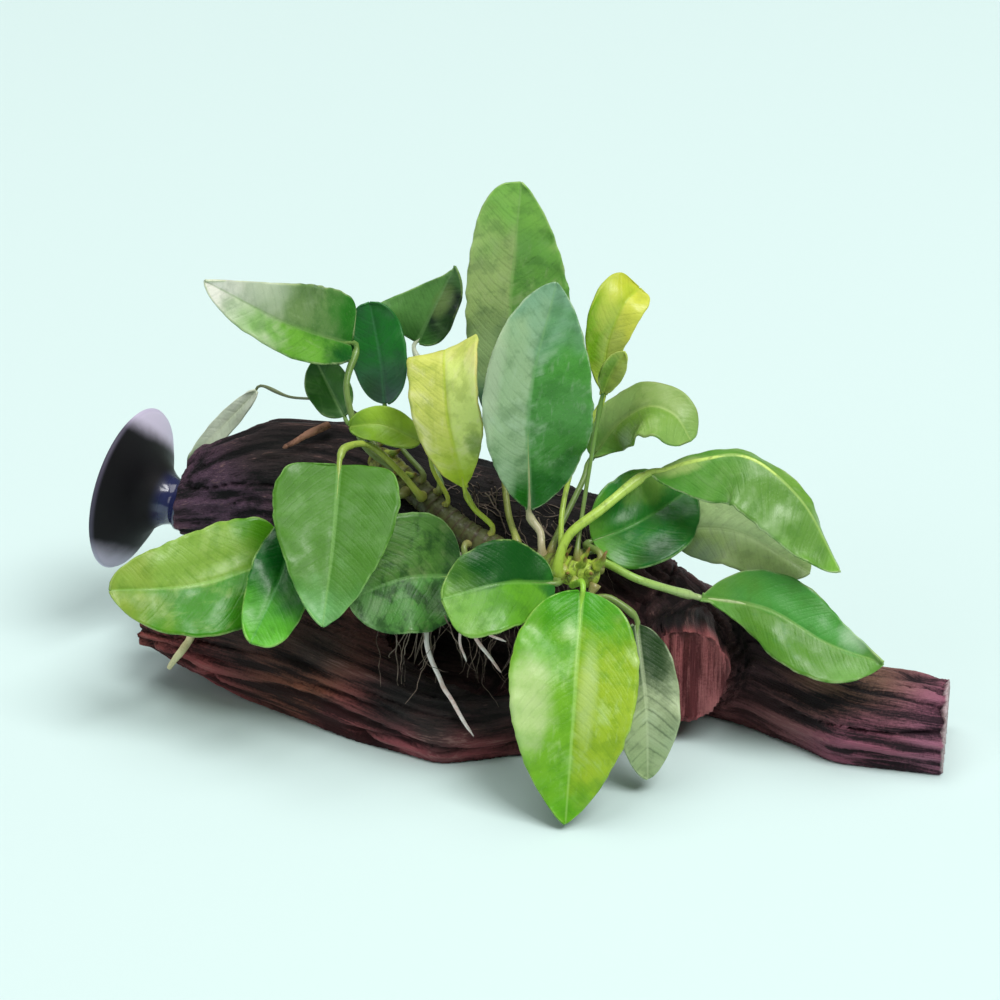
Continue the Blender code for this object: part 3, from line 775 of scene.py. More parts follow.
# %% Cup finish
def cup_finish():
    finish = Finish("smoky_plastic", IOR=1.45, Coat_Roughness=0.1)
    radius, height, _ = finish.parts(finish.attribute("turned"))
    place = finish.place()
    smoke = finish.cloud(place, 90, 4)
    colour = finish.blend(smoke, (3, 1, 5), (9, 6, 14))
    # The neck's bluish tone is a painted highlight; the same mask also makes the neck glossier.
    neck_and_highlight = finish.smooth(height, -9.0, -12.5)
    colour = finish.blend(neck_and_highlight * 0.8, colour, (44, 50, 98))
    outwards = finish.node('ShaderNodeVectorMath', {'operation': 'SUBTRACT'},
                           {0: place, 1: CUP_CENTRE + ORIGIN_SHIFT})
    # Paint the light that shines through the plastic as pale lilac patches.
    for way, start, full in CUP_LIT_THROUGH_SPANS:
        reach = finish.node('ShaderNodeVectorMath', {'operation': 'DOT_PRODUCT'},
                            {0: outwards, 1: way.normalized()}, 'Value')
        pale = finish.smooth(reach * 1000 + (smoke - 0.5) * 3, start, full)
        colour = finish.blend(pale * finish.smooth(radius, 9, 15) * 0.95, colour, (226, 216, 240))
    # A lighter rim all round: painted light through the thin edge.
    rim = finish.smooth(radius, 20.0, 21.0)
    colour = finish.blend(rim * 0.35, colour, (120, 112, 140))
    finish.skin(colour, finish.clamped(0.62 - neck_and_highlight * 0.45 + (smoke - 0.5) * 0.3),
                finish.cloud(place, 900, 2), 0.02 * MM)
    finish.feed('Coat Weight', neck_and_highlight * 0.8)
    return finish


# %% Cup
def make_cup():
    outline = []
    for stretch in CUP_STRETCHES:
        rail = Rail([Vector((radius, 0, height)) * MM for radius, height in stretch])
        count = max(4, round(rail.lengths[-1] / MM / CUP_SPACING))
        outline += [rail.at(index / count) for index in range(0 if not outline else 1, count + 1)]
    outline[0].x = outline[-1].x = 0.0
    bm = bmesh.new()
    corners = [bm.verts.new(point) for point in outline]
    edges = [bm.edges.new(pair) for pair in zip(corners, corners[1:])]
    bmesh.ops.spin(bm, geom=corners + edges, axis=(0, 0, 1), cent=(0, 0, 0), steps=CUP_STEPS,
                   angle=2 * math.pi, use_merge=True)
    bmesh.ops.remove_doubles(bm, verts=bm.verts, dist=0.0001 * MM)
    layer = bm.verts.layers.float_vector.new("turned")
    for vertex in bm.verts:
        vertex[layer] = (vertex.co.xy.length / MM, vertex.co.z / MM, 0)
    turn = UP.rotation_difference(CUP_AXIS).to_matrix().to_4x4()
    bmesh.ops.transform(bm, matrix=Matrix.Translation(CUP_CENTRE) @ turn, verts=bm.verts)
    return piece_from("cup", bm, [cup_finish()], ["suction_cup"], "suction_cup")


cup = make_cup()
print("cup has", len(cup.data.polygons), "faces")

# %% [markdown]
# ## The leaves
# An anubias leaf is a stiff, glossy oval plate with a strong pale midrib, side veins that leave the
# midrib at a slant and bend towards the tip, and a thin pale edge. Each blade is a grid that is laid
# over a formula: its outline, its fold along the midrib and its wavy edge are the same as in the solid,
# and the vein relief is added here. The grid keeps the distances across and along the blade in an
# attribute, so that every vein in the finish is drawn in real millimetres, whatever way the leaf turns.

# %% Table of leaves, in mm
@dataclass
class Leaf:
    """One leaf. The midrib runs from the blade's base to its tip."""

    name: str
    midrib: list
    width: float                    # widest, before the halves are folded
    face: tuple                     # where the upper face looks at the base and at the tip
    root: tuple                     # share along the rhizome from its growing tip, angle round it
    bends: list = field(default_factory=list)   # points that the stalk passes
    shape: tuple = (0.5, 0.6)       # powers of the outline towards the base and towards the tip
    right: tuple = ()               # the right half's share of the width and powers, where they differ
    fold: float = 8.0               # degrees that each half stands up from the flat
    wave: float = 0.6               # height of the wavy edge
    waves: float = 2.0
    stalk: float = 0.85             # radius of the stalk, in mm


LEAVES = [
    Leaf("tall_back", [(-3.5, 16, 66), (-2.5, 20, 96), (0, 24, 126)], 22.5,
         ((.1, -1, .3), (.1, -1, .2)), (.33, 80), [(-3, -1, 51), (-4, 8, 58)], shape=(.45, .3),
         right=(1.32, .55, .8), fold=10),
    Leaf("centre", [(2, -9, 56), (2, -13, 87), (8, -7, 113)], 22.5, ((.1, -1, .4), (.1, -1, .5)),
         (.22, 85), [(4.5, -11, 51)], shape=(.75, .6), right=(1.32, .7, .8), fold=9, stalk=0.95),
    Leaf("yellow", [(-13.5, -5, 60), (-17, -8, 78), (-18, -5, 89), (-18, 1, 92.5), (-17.5, 9, 88)], 19,
         ((-.1, -1, .3), (-.3, .6, .8)), (.45, 95), [(-11, -5, 54)], shape=(.65, .36),
         right=(1.03, .8, .5), fold=6, stalk=0.7),
    Leaf("young_top", [(19.5, 6, 79), (20.5, 6, 92), (24, 8, 101), (28, 13, 103.5)], 14.5,
         ((.2, -1, .3), (.1, -.8, .6)), (.13, 75), [(10, -7, 56), (14, 2, 68)], shape=(.9, .3),
         right=(.72, 1.0, .3), fold=12, wave=.3, stalk=0.7),
    Leaf("young_low", [(19.5, 0, 82), (21.5, -2, 89), (24, -3, 94)], 6, ((.2, -1, .3), (.1, -.9, .3)),
         (.08, 95), [(14.5, -11, 56), (17, -4, 70)], shape=(.7, .6), fold=14, wave=.2, stalk=0.55),
    Leaf("right_small", [(17.2, 8, 61.5), (23, 4, 72), (30, -1, 79), (36, -5, 78.6), (39.8, -8, 73.4)],
         13.5, ((-.2, -.7, .7), (.3, -.5, .8)), (.20, 120), [(10, -4, 50), (15.5, 5, 58)],
         shape=(.3, .35), right=(1.5, .9, .35), fold=6, wave=.8, stalk=0.75),
    Leaf("right_big", [(31, -6, 64), (42, -8, 68.5), (53.5, -10, 70), (66, -14, 60.5), (75, -20, 45)], 9,
         ((-.2, -.3, 1), (.7, -.4, .6)), (.12, 20), [(11, -17.5, 53), (19, -13, 58)], shape=(.6, .5),
         right=(2.9, .6, .6), fold=-26, wave=.6, stalk=1.2),
    Leaf("right_grey", [(36, 5, 44), (52, -3, 47), (69, -11, 40)], 19,
         ((0, -.75, .65), (.1, -.75, .65)), (.10, 150), [(18, -9, 45), (27, -2, 43)], shape=(.55, .6),
         fold=6),
    Leaf("right_inner", [(17, -12, 49), (28, -8, 52), (41, 2, 56)], 24, ((0, -.8, .6), (0, -.8, .6)),
         (.0, 110), [], shape=(.5, .6), fold=12),
    Leaf("right_low", [(43, -16, 36), (58, -22, 36), (72, -28, 30), (85, -32, 27)], 19,
         ((.1, -.75, .65), (.1, -.8, .6)), (.02, 170), [(28, -20.5, 43)], shape=(.8, 1.1),
         right=(1.08, 1.2, .75), fold=8, wave=1.2, waves=1.3, stalk=1.0),
    Leaf("front", [(14, -33, 46.5), (12, -51, 27), (10, -62, 1.5)], 29, ((0, -.8, .6), (0, -1, .35)),
         (.06, -10), [], shape=(.5, .8), right=(1.07, .5, .8), fold=8),
    Leaf("front_pale", [(27, -28, 35), (29, -41, 21), (29.5, -46, 4)], 16,
         ((.2, -.9, .4), (.2, -1, .3)), (.0, -50), [(21, -25, 40.5)], shape=(.5, .6), fold=8),
    Leaf("front_folded", [(7.4, -26, 45.1), (-5, -33, 48.5), (-18.4, -38, 47)], 24,
         ((0, -.75, .7), (-.1, -.8, .65)), (.17, 0), [], shape=(.5, .2), right=(.85, .5, .6), fold=10,
         wave=.3),
    Leaf("mottled", [(-14, -13, 40), (-27, -19.5, 43), (-41, -24, 39.5)], 28,
         ((0, -.8, .65), (-.2, -.85, .55)), (.50, 0), [], shape=(.45, .45), right=(1.1, .35, .5),
         fold=8),
    Leaf("left_broad", [(-43, -6, 66), (-44, -24, 54), (-46, -38, 40)], 30,
         ((0, -.75, .65), (0, -.95, .45)), (.74, 40), [(-29, 3, 60), (-36, 3, 67), (-41.5, -1, 68.5)],
         shape=(.22, .72), fold=5),
    Leaf("left_low", [(-56, -5, 42), (-76, -16, 39.5), (-97, -22, 41)], 27,
         ((0, -.75, .65), (-.1, -.8, .6)), (.66, -20), [(-32, -3, 48), (-45, -3, 45)], shape=(.5, .62),
         right=(.97, .25, .5), fold=8),
    Leaf("left_dark", [(-53, -8, 54), (-57, -24, 44), (-63, -35, 34)], 17,
         ((-.1, -.85, .55), (-.1, -.9, .45)), (.80, 0), [(-38, -1, 54), (-46, -2, 55)], shape=(.5, .3),
         right=(.85, .6, .6), fold=8),
    Leaf("left_top", [(-41, 20, 86), (-55, 10, 95.5), (-74, 4, 109)], 17,
         ((0, -.7, .7), (-.1, -.8, .6)), (.88, 45), [(-38, 8.5, 65), (-42, 14, 77)], shape=(.35, .6),
         right=(1.45, .2, .95), fold=14),
    Leaf("back_left", [(-33, 21, 70), (-34, 22, 81), (-36.5, 26, 94.5)], 14,
         ((-.1, -1, .3), (-.1, -1, .4)), (.79, 92), [(-29, 13, 62)], shape=(.5, .4), fold=10, stalk=0.7),
    Leaf("back_mid", [(-25.2, 29.5, 82.5), (-20.2, 32, 92.5), (-15.9, 34, 100.7)], 26.5,
         ((-.3, -.9, .4), (-.3, -.9, .4)), (.72, 110), [(-22, 12, 62), (-22, 24, 73)],
         shape=(.16, 1.4), right=(.5, .4, .6), fold=10, stalk=0.7),
    Leaf("back_low", [(-43, 20, 67), (-46, 23, 72), (-50, 27, 79)], 11.5,
         ((-.3, -.9, .4), (-.3, -.9, .4)), (.98, 60), [(-39, 16, 66)], shape=(.5, .5), fold=10,
         wave=.4, stalk=0.65),
    Leaf("lime_small", [(-24, 3, 68), (-33, 4, 72), (-41, 5, 71)], 9, ((0, -.8, .6), (0, -.8, .6)),
         (.66, 90), [(-21, 2, 61)], shape=(.5, .5), fold=8, wave=.4, stalk=0.6),
    Leaf("faded", [(-67, 53, 59), (-75.5, 52, 50), (-84.5, 48, 41)], 5.5, ((0, -.8, .6), (0, -.8, .6)),
         (1.0, 125), [(-41, 25, 66), (-48, 34, 65), (-58, 46, 60.5)], shape=(.5, .5), fold=8, wave=.3,
         stalk=0.4),
]

# %% [markdown]
# ### Tones of the leaves
# No two leaves of the plant have the same green: old ones are dark and dull, young ones yellow, and one
# has gone pale. A leaf's two halves also catch the light in their own way, and the table paints that
# light and shade into their tones. So a table gives each leaf one tone for each half, one for its base
# and its tip, one for its cloudy patches, and one for its rib. Some bases are painted shade as well, and
# the pale patches are partly painted sheen.

# %% Table of tones
@dataclass
class Look:
    """Tones of one leaf. Left and right are seen from its base towards its tip, upper face up."""

    # left and right: each half's tone, where a paler half is often painted sheen and a darker one painted
    # shade.
    left: tuple
    right: tuple
    # base: its tone at the base; on tall_back a dark painted shade, where other leaves shade it.
    base: tuple
    tip: tuple
    # patch: tone of the pale cloudy patches, partly the leaf's own mottling and partly painted sheen.
    patch: tuple                    # tone of the cloudy patches
    rib: tuple
    edge: tuple
    patches: float = 0.45           # how much of the blade they cover, from 0 to 1
    mottle: float = 0.26            # strength of the dark clouds
    base_reach: float = 0.35        # share of the length that the base tone fades over
    tip_reach: float = 0.35
    vein: float = 0.10              # how dark the side veins are
    dull: float = 0.30              # roughness
    slot: str = "leaf_green"


# On many leaves, as centre, front and tall_back, the paler left half is a painted sheen. The very dark right
# halves of back_mid and front_folded are painted shade.
LOOKS = {
    "tall_back": Look((164, 190, 116), (114, 172, 76), (14, 78, 66), (132, 188, 80), (172, 186, 134),
        (150, 190, 110), (176, 200, 130), patches=.42, base_reach=.62),
    "centre": Look((156, 186, 138), (80, 150, 62), (30, 108, 24), (130, 174, 138), (178, 204, 168),
        (130, 176, 116), (190, 212, 170), patches=.42, dull=.24),
    "yellow": Look((210, 216, 104), (226, 240, 134), (182, 212, 50), (206, 204, 86), (234, 232, 176),
        (190, 214, 30), (206, 190, 90), patches=.62, mottle=.34, vein=.1, dull=.4, slot="leaf_yellow"),
    "young_top": Look((126, 178, 26), (208, 214, 82), (186, 202, 80), (200, 206, 60), (222, 224, 128),
        (170, 200, 50), (210, 214, 90), patches=.3, vein=.1, slot="leaf_yellow"),
    "young_low": Look((126, 168, 60), (194, 208, 98), (130, 160, 70), (180, 200, 84), (214, 222, 140),
        (180, 206, 90), (200, 214, 120), patches=.3, vein=.1, slot="leaf_yellow"),
    "right_small": Look((146, 174, 96), (120, 160, 60), (132, 188, 84), (132, 170, 84), (186, 204, 142),
        (170, 196, 110), (150, 160, 100), patches=.5),
    "right_big": Look((112, 160, 60), (102, 148, 62), (84, 148, 52), (120, 176, 62), (146, 180, 118),
        (190, 220, 124), (196, 214, 158), patches=.62, base_reach=.5, tip_reach=.2),
    "right_grey": Look((196, 222, 156), (190, 216, 140), (112, 146, 84), (150, 178, 110), (172, 190, 146),
        (166, 190, 130), (180, 196, 140), patches=.5, dull=.36, slot="leaf_pale"),
    "right_inner": Look((44, 128, 40), (20, 108, 30), (96, 158, 50), (60, 130, 56), (120, 172, 92),
        (96, 160, 70), (168, 200, 132), patches=.3, slot="leaf_dark"),
    "right_low": Look((78, 152, 64), (86, 138, 40), (98, 158, 62), (108, 160, 68), (46, 122, 50),
        (150, 186, 104), (190, 208, 146), patches=.4),
    "front": Look((154, 184, 46), (116, 174, 40), (72, 156, 24), (98, 168, 28), (186, 214, 140),
        (170, 214, 112), (160, 200, 90), patches=.48, base_reach=.4, tip_reach=.3, dull=.30),
    "front_pale": Look((174, 190, 146), (164, 182, 132), (36, 66, 26), (146, 170, 118), (188, 206, 168),
        (190, 206, 160), (184, 200, 156), patches=.45, vein=.5, dull=.4, base_reach=.6, slot="leaf_pale"),
    "front_folded": Look((92, 156, 34), (14, 78, 18), (40, 110, 34), (122, 172, 70), (56, 112, 48),
        (116, 176, 74), (176, 206, 120), patches=.25, base_reach=.2, slot="leaf_dark"),
    "mottled": Look((80, 138, 60), (78, 124, 50), (40, 80, 34), (104, 150, 88), (122, 140, 92),
        (110, 160, 84), (150, 182, 120), patches=.5, mottle=.75, vein=.3, dull=.34),
    "left_broad": Look((72, 124, 36), (76, 128, 36), (70, 124, 26), (112, 172, 102), (104, 150, 76),
        (124, 172, 88), (150, 196, 112), patches=.4, vein=.12, dull=.36),
    "left_low": Look((58, 134, 12), (136, 174, 70), (80, 148, 18), (142, 166, 64), (158, 186, 100),
        (138, 190, 78), (168, 194, 110), patches=.35),
    "left_dark": Look((6, 98, 26), (4, 92, 22), (2, 78, 16), (98, 182, 50), (40, 134, 46), (70, 150, 66),
        (166, 204, 112), patches=.3, base_reach=.3, tip_reach=.55, slot="leaf_dark"),
    "left_top": Look((106, 166, 54), (116, 148, 88), (46, 118, 34), (240, 238, 224), (170, 190, 140),
        (120, 156, 92), (190, 206, 150), patches=.35, tip_reach=.5),
    "back_left": Look((28, 108, 36), (30, 114, 38), (70, 96, 88), (36, 108, 46), (52, 116, 70),
        (70, 128, 84), (60, 120, 60), patches=.3, base_reach=.6, slot="leaf_dark"),
    "back_mid": Look((98, 152, 76), (26, 46, 30), (64, 112, 50), (84, 130, 68), (116, 156, 96),
        (120, 164, 100), (170, 200, 120), patches=.35),
    "back_low": Look((40, 92, 22), (54, 106, 32), (60, 100, 50), (34, 78, 28), (108, 146, 86),
        (124, 160, 100), (128, 160, 92), patches=.4, slot="leaf_dark"),
    "lime_small": Look((128, 168, 40), (146, 184, 50), (150, 180, 60), (110, 150, 44), (164, 196, 82),
        (160, 190, 80), (150, 180, 80), patches=.35, slot="leaf_yellow"),
    "faded": Look((186, 200, 172), (200, 212, 188), (206, 214, 196), (84, 128, 66), (222, 226, 208),
        (196, 208, 176), (200, 208, 180), patches=.5, vein=.15, dull=.45, tip_reach=.4, slot="leaf_pale"),
}
# Pale spots, as on centre, front and right_big, are painted highlights and sheen; the others set darker or
# lighter tones.
TONE_AND_HIGHLIGHT_SPOTS = {    # soft spots: middle across and along the blade, reach across and along in mm, tone, strength
    "tall_back": [(-6, 18, 4, 8, (170, 196, 130), .6)],
    "centre": [(-10, 34, 2.5, 12, (192, 208, 172), .6), (-6, 11, 2.5, 6, (156, 186, 146), .6),
        (11, 14, 3, 5, (30, 92, 28), .6)],
    "yellow": [(5.8, 12, 2.5, 4, (104, 144, 58), .6)],
    "young_top": [(-2.5, 20, 3, 4, (212, 220, 100), .7), (0.7, 12.5, 3, 6, (200, 216, 112), .7)],
    "right_small": [(-4, 13, 3.5, 6, (170, 204, 124), .7), (5.4, 14.5, 3, 4, (158, 180, 140), .5)],
    "right_big": [(0.3, 7, 2.5, 6, (208, 226, 140), .6)],
    "right_grey": [(7.5, 11, 4, 5, (184, 204, 178), .6), (-2, 20, 5, 9, (176, 202, 146), .5)],
    "right_inner": [(-3, 9, 5, 6, (10, 96, 16), .7), (-7, 19, 4, 7, (150, 190, 84), .75),
        (8.8, 12, 3, 5, (20, 46, 20), .6)],
    "right_low": [(-3.6, 38, 3, 4, (196, 222, 190), .5)],
    "front": [(11, 28, 5.5, 10, (206, 224, 160), .72), (-3, 24, 2, 11, (196, 218, 144), .5)],
    "front_pale": [(-1, 8, 6, 7.5, (34, 64, 24), 1.0)],
    "mottled": [(-6.3, 9.5, 4, 4, (22, 54, 14), .7)],
    "left_top": [(-5.7, 4.4, 4, 6, (16, 72, 28), .8), (5.7, 28, 5, 6, (216, 226, 198), .5)],
    "back_left": [(-3.4, 3.5, 3, 4, (40, 70, 22), .6)],
    "back_mid": [(1.5, 12, 2.5, 4, (134, 164, 92), .6), (5.4, 6, 3, 4, (48, 88, 32), .5)],
}
print(len(LEAVES), "leaves,", len(LOOKS), "looks,", sum(map(len, TONE_AND_HIGHLIGHT_SPOTS.values())), "soft spots")

# %% Blade formula
def blade_frame(leaf, rail, share):
    """Directions along the midrib, out of the upper face, and to the right."""
    along = rail.along(share)
    up = Vector(leaf.face[0]).lerp(Vector(leaf.face[1]), share)
    up = (up - along * up.dot(along)).normalized()
    return along, up, along.cross(up)


def half_width(leaf, share, side):
    """How far the outline stands from the midrib on that side, in mm."""
    scale, rise, fall = leaf.right if side > 0 and leaf.right else (1.0, *leaf.shape)
    peak = (rise / (rise + fall)) ** rise * (fall / (rise + fall)) ** fall
    half = leaf.width / 2 * scale * share ** rise * (1 - share) ** fall / peak
    return max(half, leaf.stalk * (1 - share) + 0.15)


RIB_SINKS = 0.35
RIB_WIDTH = 0.75
VEIN_SINKS = 0.045
VEIN_WIDTH = 0.6
VEIN_PITCH = 3.1
VEIN_SLANT = 0.62
VEIN_BEND = 0.035
SWELL = 1.0
SWELL_SIZE = (7, 9)             # across and along the blade
EDGE_CURL = 0.8
CURL_SIZE = 4
EDGE_NICKS = 0.035              # share of the width that the edge wanders in and out
NICK_SIZE = 2.5
WAVE_LAG = 1.6                  # radians that the right edge's wave is behind the left one's


def vein_start(across, along):
    """Where along the midrib the side vein through a place starts. It slants and bends to the tip."""
    return along - VEIN_SLANT * abs(across) - VEIN_BEND * across * across


def blade_point(leaf, rail, share, side, seed):
    """A point of the blade, and its distances across and along it in mm."""
    distance = share * rail.lengths[-1] / MM
    half = half_width(leaf, share, side)
    half *= 1 + EDGE_NICKS * noise.noise(Vector((distance / NICK_SIZE, math.copysign(9, side), seed)))
    along, up, right = blade_frame(leaf, rail, share)
    fold = math.radians(leaf.fold)
    phase = WAVE_LAG if side > 0 else 0.0
    across = side * half
    ripple = math.sin(2 * math.pi * leaf.waves * share + phase) * leaf.wave * side * side
    height = abs(across) * math.sin(fold) + ripple
    height -= RIB_SINKS * math.exp(-(across / RIB_WIDTH) ** 2) * (1 - 0.7 * share)
    off_vein = abs((vein_start(across, distance) / VEIN_PITCH + 0.5) % 1 - 0.5) * VEIN_PITCH
    height -= VEIN_SINKS * math.exp(-(off_vein / VEIN_WIDTH) ** 2) * min(1.0, abs(across) / 2)
    spot = Vector((across / SWELL_SIZE[0], distance / SWELL_SIZE[1], seed))
    height += SWELL * noise.noise(spot) * min(1.0, abs(across) / 5)
    spot = Vector((math.copysign(4, side), distance / CURL_SIZE, seed))
    height += EDGE_CURL * noise.noise(spot) * side ** 4
    point = rail.at(share) + (right * across * math.cos(fold) + up * height) * MM
    return point, Vector((across, distance, half))


# %% Leaf finish
def leaf_finish(name, look, length, seed, tone_and_highlight_spots):
    """Glossy leaf skin. It reads the distances in mm that the blade carries."""
    finish = Finish(name, IOR=1.38, Specular_IOR_Level=0.36, Coat_Roughness=0.22)
    blade = finish.attribute("blade")
    across, along, half = finish.parts(blade)
    off_rib = abs(across)
    share = along / length
    flat = finish.stretched(blade, (1, 1, 0), (seed * 31.0, seed * 17.0, 0))
    drift = finish.cloud(flat, 0.09, 2)
    mottle = finish.cloud(flat, 0.2, 4, 0.6)
    grain = finish.cloud(flat, 1.4, 4, 0.65)
    slant = vein_start(across, along)
    fan = finish.node('ShaderNodeCombineXYZ', {}, {0: slant, 1: off_rib * 0.2, 2: seed})
    streaky = finish.cloud(fan, 0.42, 4, 0.6)

    # Tones of the two halves, which carry painted sheen and painted shade.
    colour = finish.blend(finish.smooth(across + (drift - 0.5) * 4, -0.9, 0.9), look.left, look.right)
    # Pale cloudy patches and streaks: partly the leaf's own mottling, partly painted sheen.
    pale = finish.smooth(drift * 0.5 + streaky * 0.25 + mottle * 0.25, 0.58 - 0.15 * look.patches,
                         0.72 - 0.15 * look.patches)
    colour = finish.blend(pale * (0.35 + look.patches * 0.5), colour, look.patch)
    lift = finish.smooth(finish.cloud(finish.stretched(flat, (1, 0.3, 1)), 0.6, 4, 0.6), 0.52, 0.72)
    colour = finish.blend(lift * (0.1 + look.patches * 0.35), colour, look.patch)
    # Fade to the base tone; on tall_back this is painted shade.
    base_share = finish.smooth(share + (drift - 0.5) * 0.4 + (mottle - 0.5) * 0.25, look.base_reach, 0.02)
    colour = finish.blend(base_share, colour, look.base)
    tip_share = finish.smooth(share + (drift - 0.5) * 0.6, 1 - look.tip_reach, 1.0)
    colour = finish.blend(tip_share, colour, look.tip)
    shade = finish.blend(0.5, look.base, (14, 48, 16))
    deep = finish.smooth(mottle, 0.54, 0.36)
    colour = finish.blend(deep * look.mottle, colour, shade)
    # Soft spots: the pale ones are painted highlights, the others darker or lighter tones.
    for spot_x, spot_y, wide, long, spot_tone, strength in tone_and_highlight_spots:
        off_x = (across - spot_x) / wide
        off_y = (along - spot_y) / long
        off = off_x * off_x + off_y * off_y + (mottle - 0.5) * 2.5
        colour = finish.blend(finish.smooth(off, 2.0, -0.3) * strength, colour, spot_tone)

    wander = (grain - 0.5) * 0.8 + (mottle - 0.5) * 1.2
    main_vein = finish.lines(slant + wander, VEIN_PITCH, 0.45)
    thin_vein = finish.smooth(finish.zigzag(slant + wander, VEIN_PITCH / 8), 0, VEIN_PITCH / 8)
    inner = 1 - finish.smooth(off_rib / half, 0.8, 1.0)
    seen = finish.smooth(drift, 0.35, 0.6)
    colour = finish.blend((main_vein + thin_vein * 0.15) * inner * seen * look.vein, colour, shade)
    colour = finish.blend(finish.smooth(grain, 0.58, 0.76) * 0.2, colour, shade)
    colour = finish.blend(finish.smooth(grain, 0.42, 0.26) * 0.16, colour, look.patch)

    rib = finish.smooth(off_rib - 0.7 + share * 0.5 + wander * 0.15, 0.25, -0.25)
    colour = finish.blend(rib * 0.45, colour, look.rib)
    rim = finish.smooth(half - off_rib + (grain - 0.5) * 0.5, 0.5, 0.1) * finish.smooth(mottle, 0.38, 0.6)
    colour = finish.blend(rim * 0.55, colour, look.edge)
    height = (0.5 - main_vein * inner * 0.2 - thin_vein * inner * 0.05 + rib * 0.3 + grain * 0.3
              + mottle * 0.8)
    finish.skin(colour, finish.clamped(look.dull + (streaky - 0.5) * 0.2 + grain * 0.12), height, 0.22 * MM)
    finish.feed('Coat Weight', finish.clamped(0.40 - look.dull + (mottle - 0.5) * 1.8))
    return finish


# %% Underside finish
def underside_finish():
    """The dull, paler lower face that all leaves share."""
    finish = Finish("leaf_underside", IOR=1.45)
    blade = finish.attribute("blade")
    across, along, _ = finish.parts(blade)
    vein = finish.lines(vein_start(across, along), VEIN_PITCH, 0.5)
    grain = finish.cloud(blade, 0.9, 4)
    colour = finish.blend(grain, (94, 138, 70), (132, 168, 98))
    colour = finish.blend(vein * 0.4, colour, (160, 190, 124))
    finish.skin(colour, 0.45 + grain * 0.2, vein * 0.6 + grain * 0.4, 0.2 * MM)
    return finish


# %% Blades
BLADE_ACROSS = 30
BLADE_ROW = 0.72                # length of a cell in mm
BLADE_THICKNESS = 0.5
END_DENSITY = 0.09              # how much closer the rows lie at both ends
RIB_DENSITY = 1.25              # above 1, the columns lie closer at the midrib
SEED_STEP = 7.3
underside = underside_finish()


def make_blade(leaf, index):
    rail = Rail(mm(leaf.midrib))
    length = rail.lengths[-1] / MM
    rows = max(24, round(length / BLADE_ROW))
    bm = bmesh.new()
    bmesh.ops.create_grid(bm, x_segments=BLADE_ACROSS, y_segments=rows, size=0.5)
    layer = bm.verts.layers.float_vector.new("blade")
    for vertex in bm.verts:
        run = vertex.co.y + 0.5
        share = run - END_DENSITY * math.sin(2 * math.pi * run)
        side = math.copysign(abs(vertex.co.x * 2) ** RIB_DENSITY, vertex.co.x)
        vertex.co, vertex[layer] = blade_point(leaf, rail, share, side, index * SEED_STEP)
    look = LOOKS[leaf.name]
    skin = leaf_finish("skin_" + leaf.name, look, length, index + 1.0, TONE_AND_HIGHLIGHT_SPOTS.get(leaf.name, []))
    blade = piece_from("blade_" + leaf.name, bm, [skin, underside], ["leaf_" + leaf.name], look.slot,
                       closed=False)
    thick = blade.modifiers.new("thickness", 'SOLIDIFY')
    thick.thickness = BLADE_THICKNESS * MM
    thick.offset = 0
    thick.material_offset = 1
    thick.material_offset_rim = 0
    return rail


blade_rails = {leaf.name: make_blade(leaf, index) for index, leaf in enumerate(LEAVES)}
print("blades from", BLADE_ACROSS, "cells across")

# %% [markdown]
# ## Stalks
# A stalk leaves the creeping stem from a short sheath, bends towards the light, swells a little just
# below the blade and runs on under it as the midrib. One rod along one curve does all of this, with
# only its radius changing. Its paint runs from a pale sheath to the green of its own leaf.

# %% Stalk tones
STALK_TONES = {          # low end, high end
    "tall_back": ((150, 160, 80), (170, 176, 96)),
    "centre": ((196, 186, 150), (140, 176, 92)),
    "yellow": ((170, 196, 60), (206, 220, 60)),
    "young_top": ((160, 190, 70), (186, 208, 90)),
    "right_big": ((168, 200, 70), (200, 226, 112)),
    "right_low": ((150, 190, 80), (190, 208, 150)),
    "front": ((150, 200, 60), (140, 200, 70)),
    "faded": ((90, 96, 60), (110, 120, 84)),
    "back_mid": ((120, 150, 70), (220, 224, 200)),
    "left_broad": ((172, 186, 66), (140, 166, 70)),
    "lime_small": ((196, 208, 70), (160, 186, 70)),
}
PLAIN_STALK = ((122, 142, 72), (112, 150, 72))


def stalk_finish(name):
    low, high = STALK_TONES.get(name, PLAIN_STALK)
    finish = Finish("stalk_skin_" + name, IOR=1.45, Coat_Weight=0.25, Coat_Roughness=0.2)
    distance, share, _ = finish.parts(finish.attribute("rod"))
    place = finish.place()
    fleck = finish.cloud(finish.stretched(place, (1, 1, 0.3)), 900, 3)
    colour = finish.blend(finish.smooth(share, 0.05, 0.6), low, high)
    colour = finish.blend(finish.smooth(fleck, 0.5, 0.75) * 0.5, colour, (96, 118, 44))
    colour = finish.blend(finish.smooth(distance, 5, 0.5) * 0.55, colour, (176, 150, 96))
    finish.skin(colour, 0.3 + fleck * 0.25, fleck, 0.12 * MM)
    return finish


# %% Stalks from the creeping stem to the blades
STALK_SIDES = 14
STALK_STARTS = (-1.2, 1.95)         # heights in mm over the creeping stem's skin of its first two points
STALK_ENDS_BEFORE = 1.95            # distance in mm from the joint to the blade
STALK_STATION = 1.1
RIB_SHARES = (0.06, 0.2, 0.4, 0.6, 0.8, 0.94)
RIB_DEPTHS = (0.62, 0.42)           # mm below the blade's middle at its base and at its tip


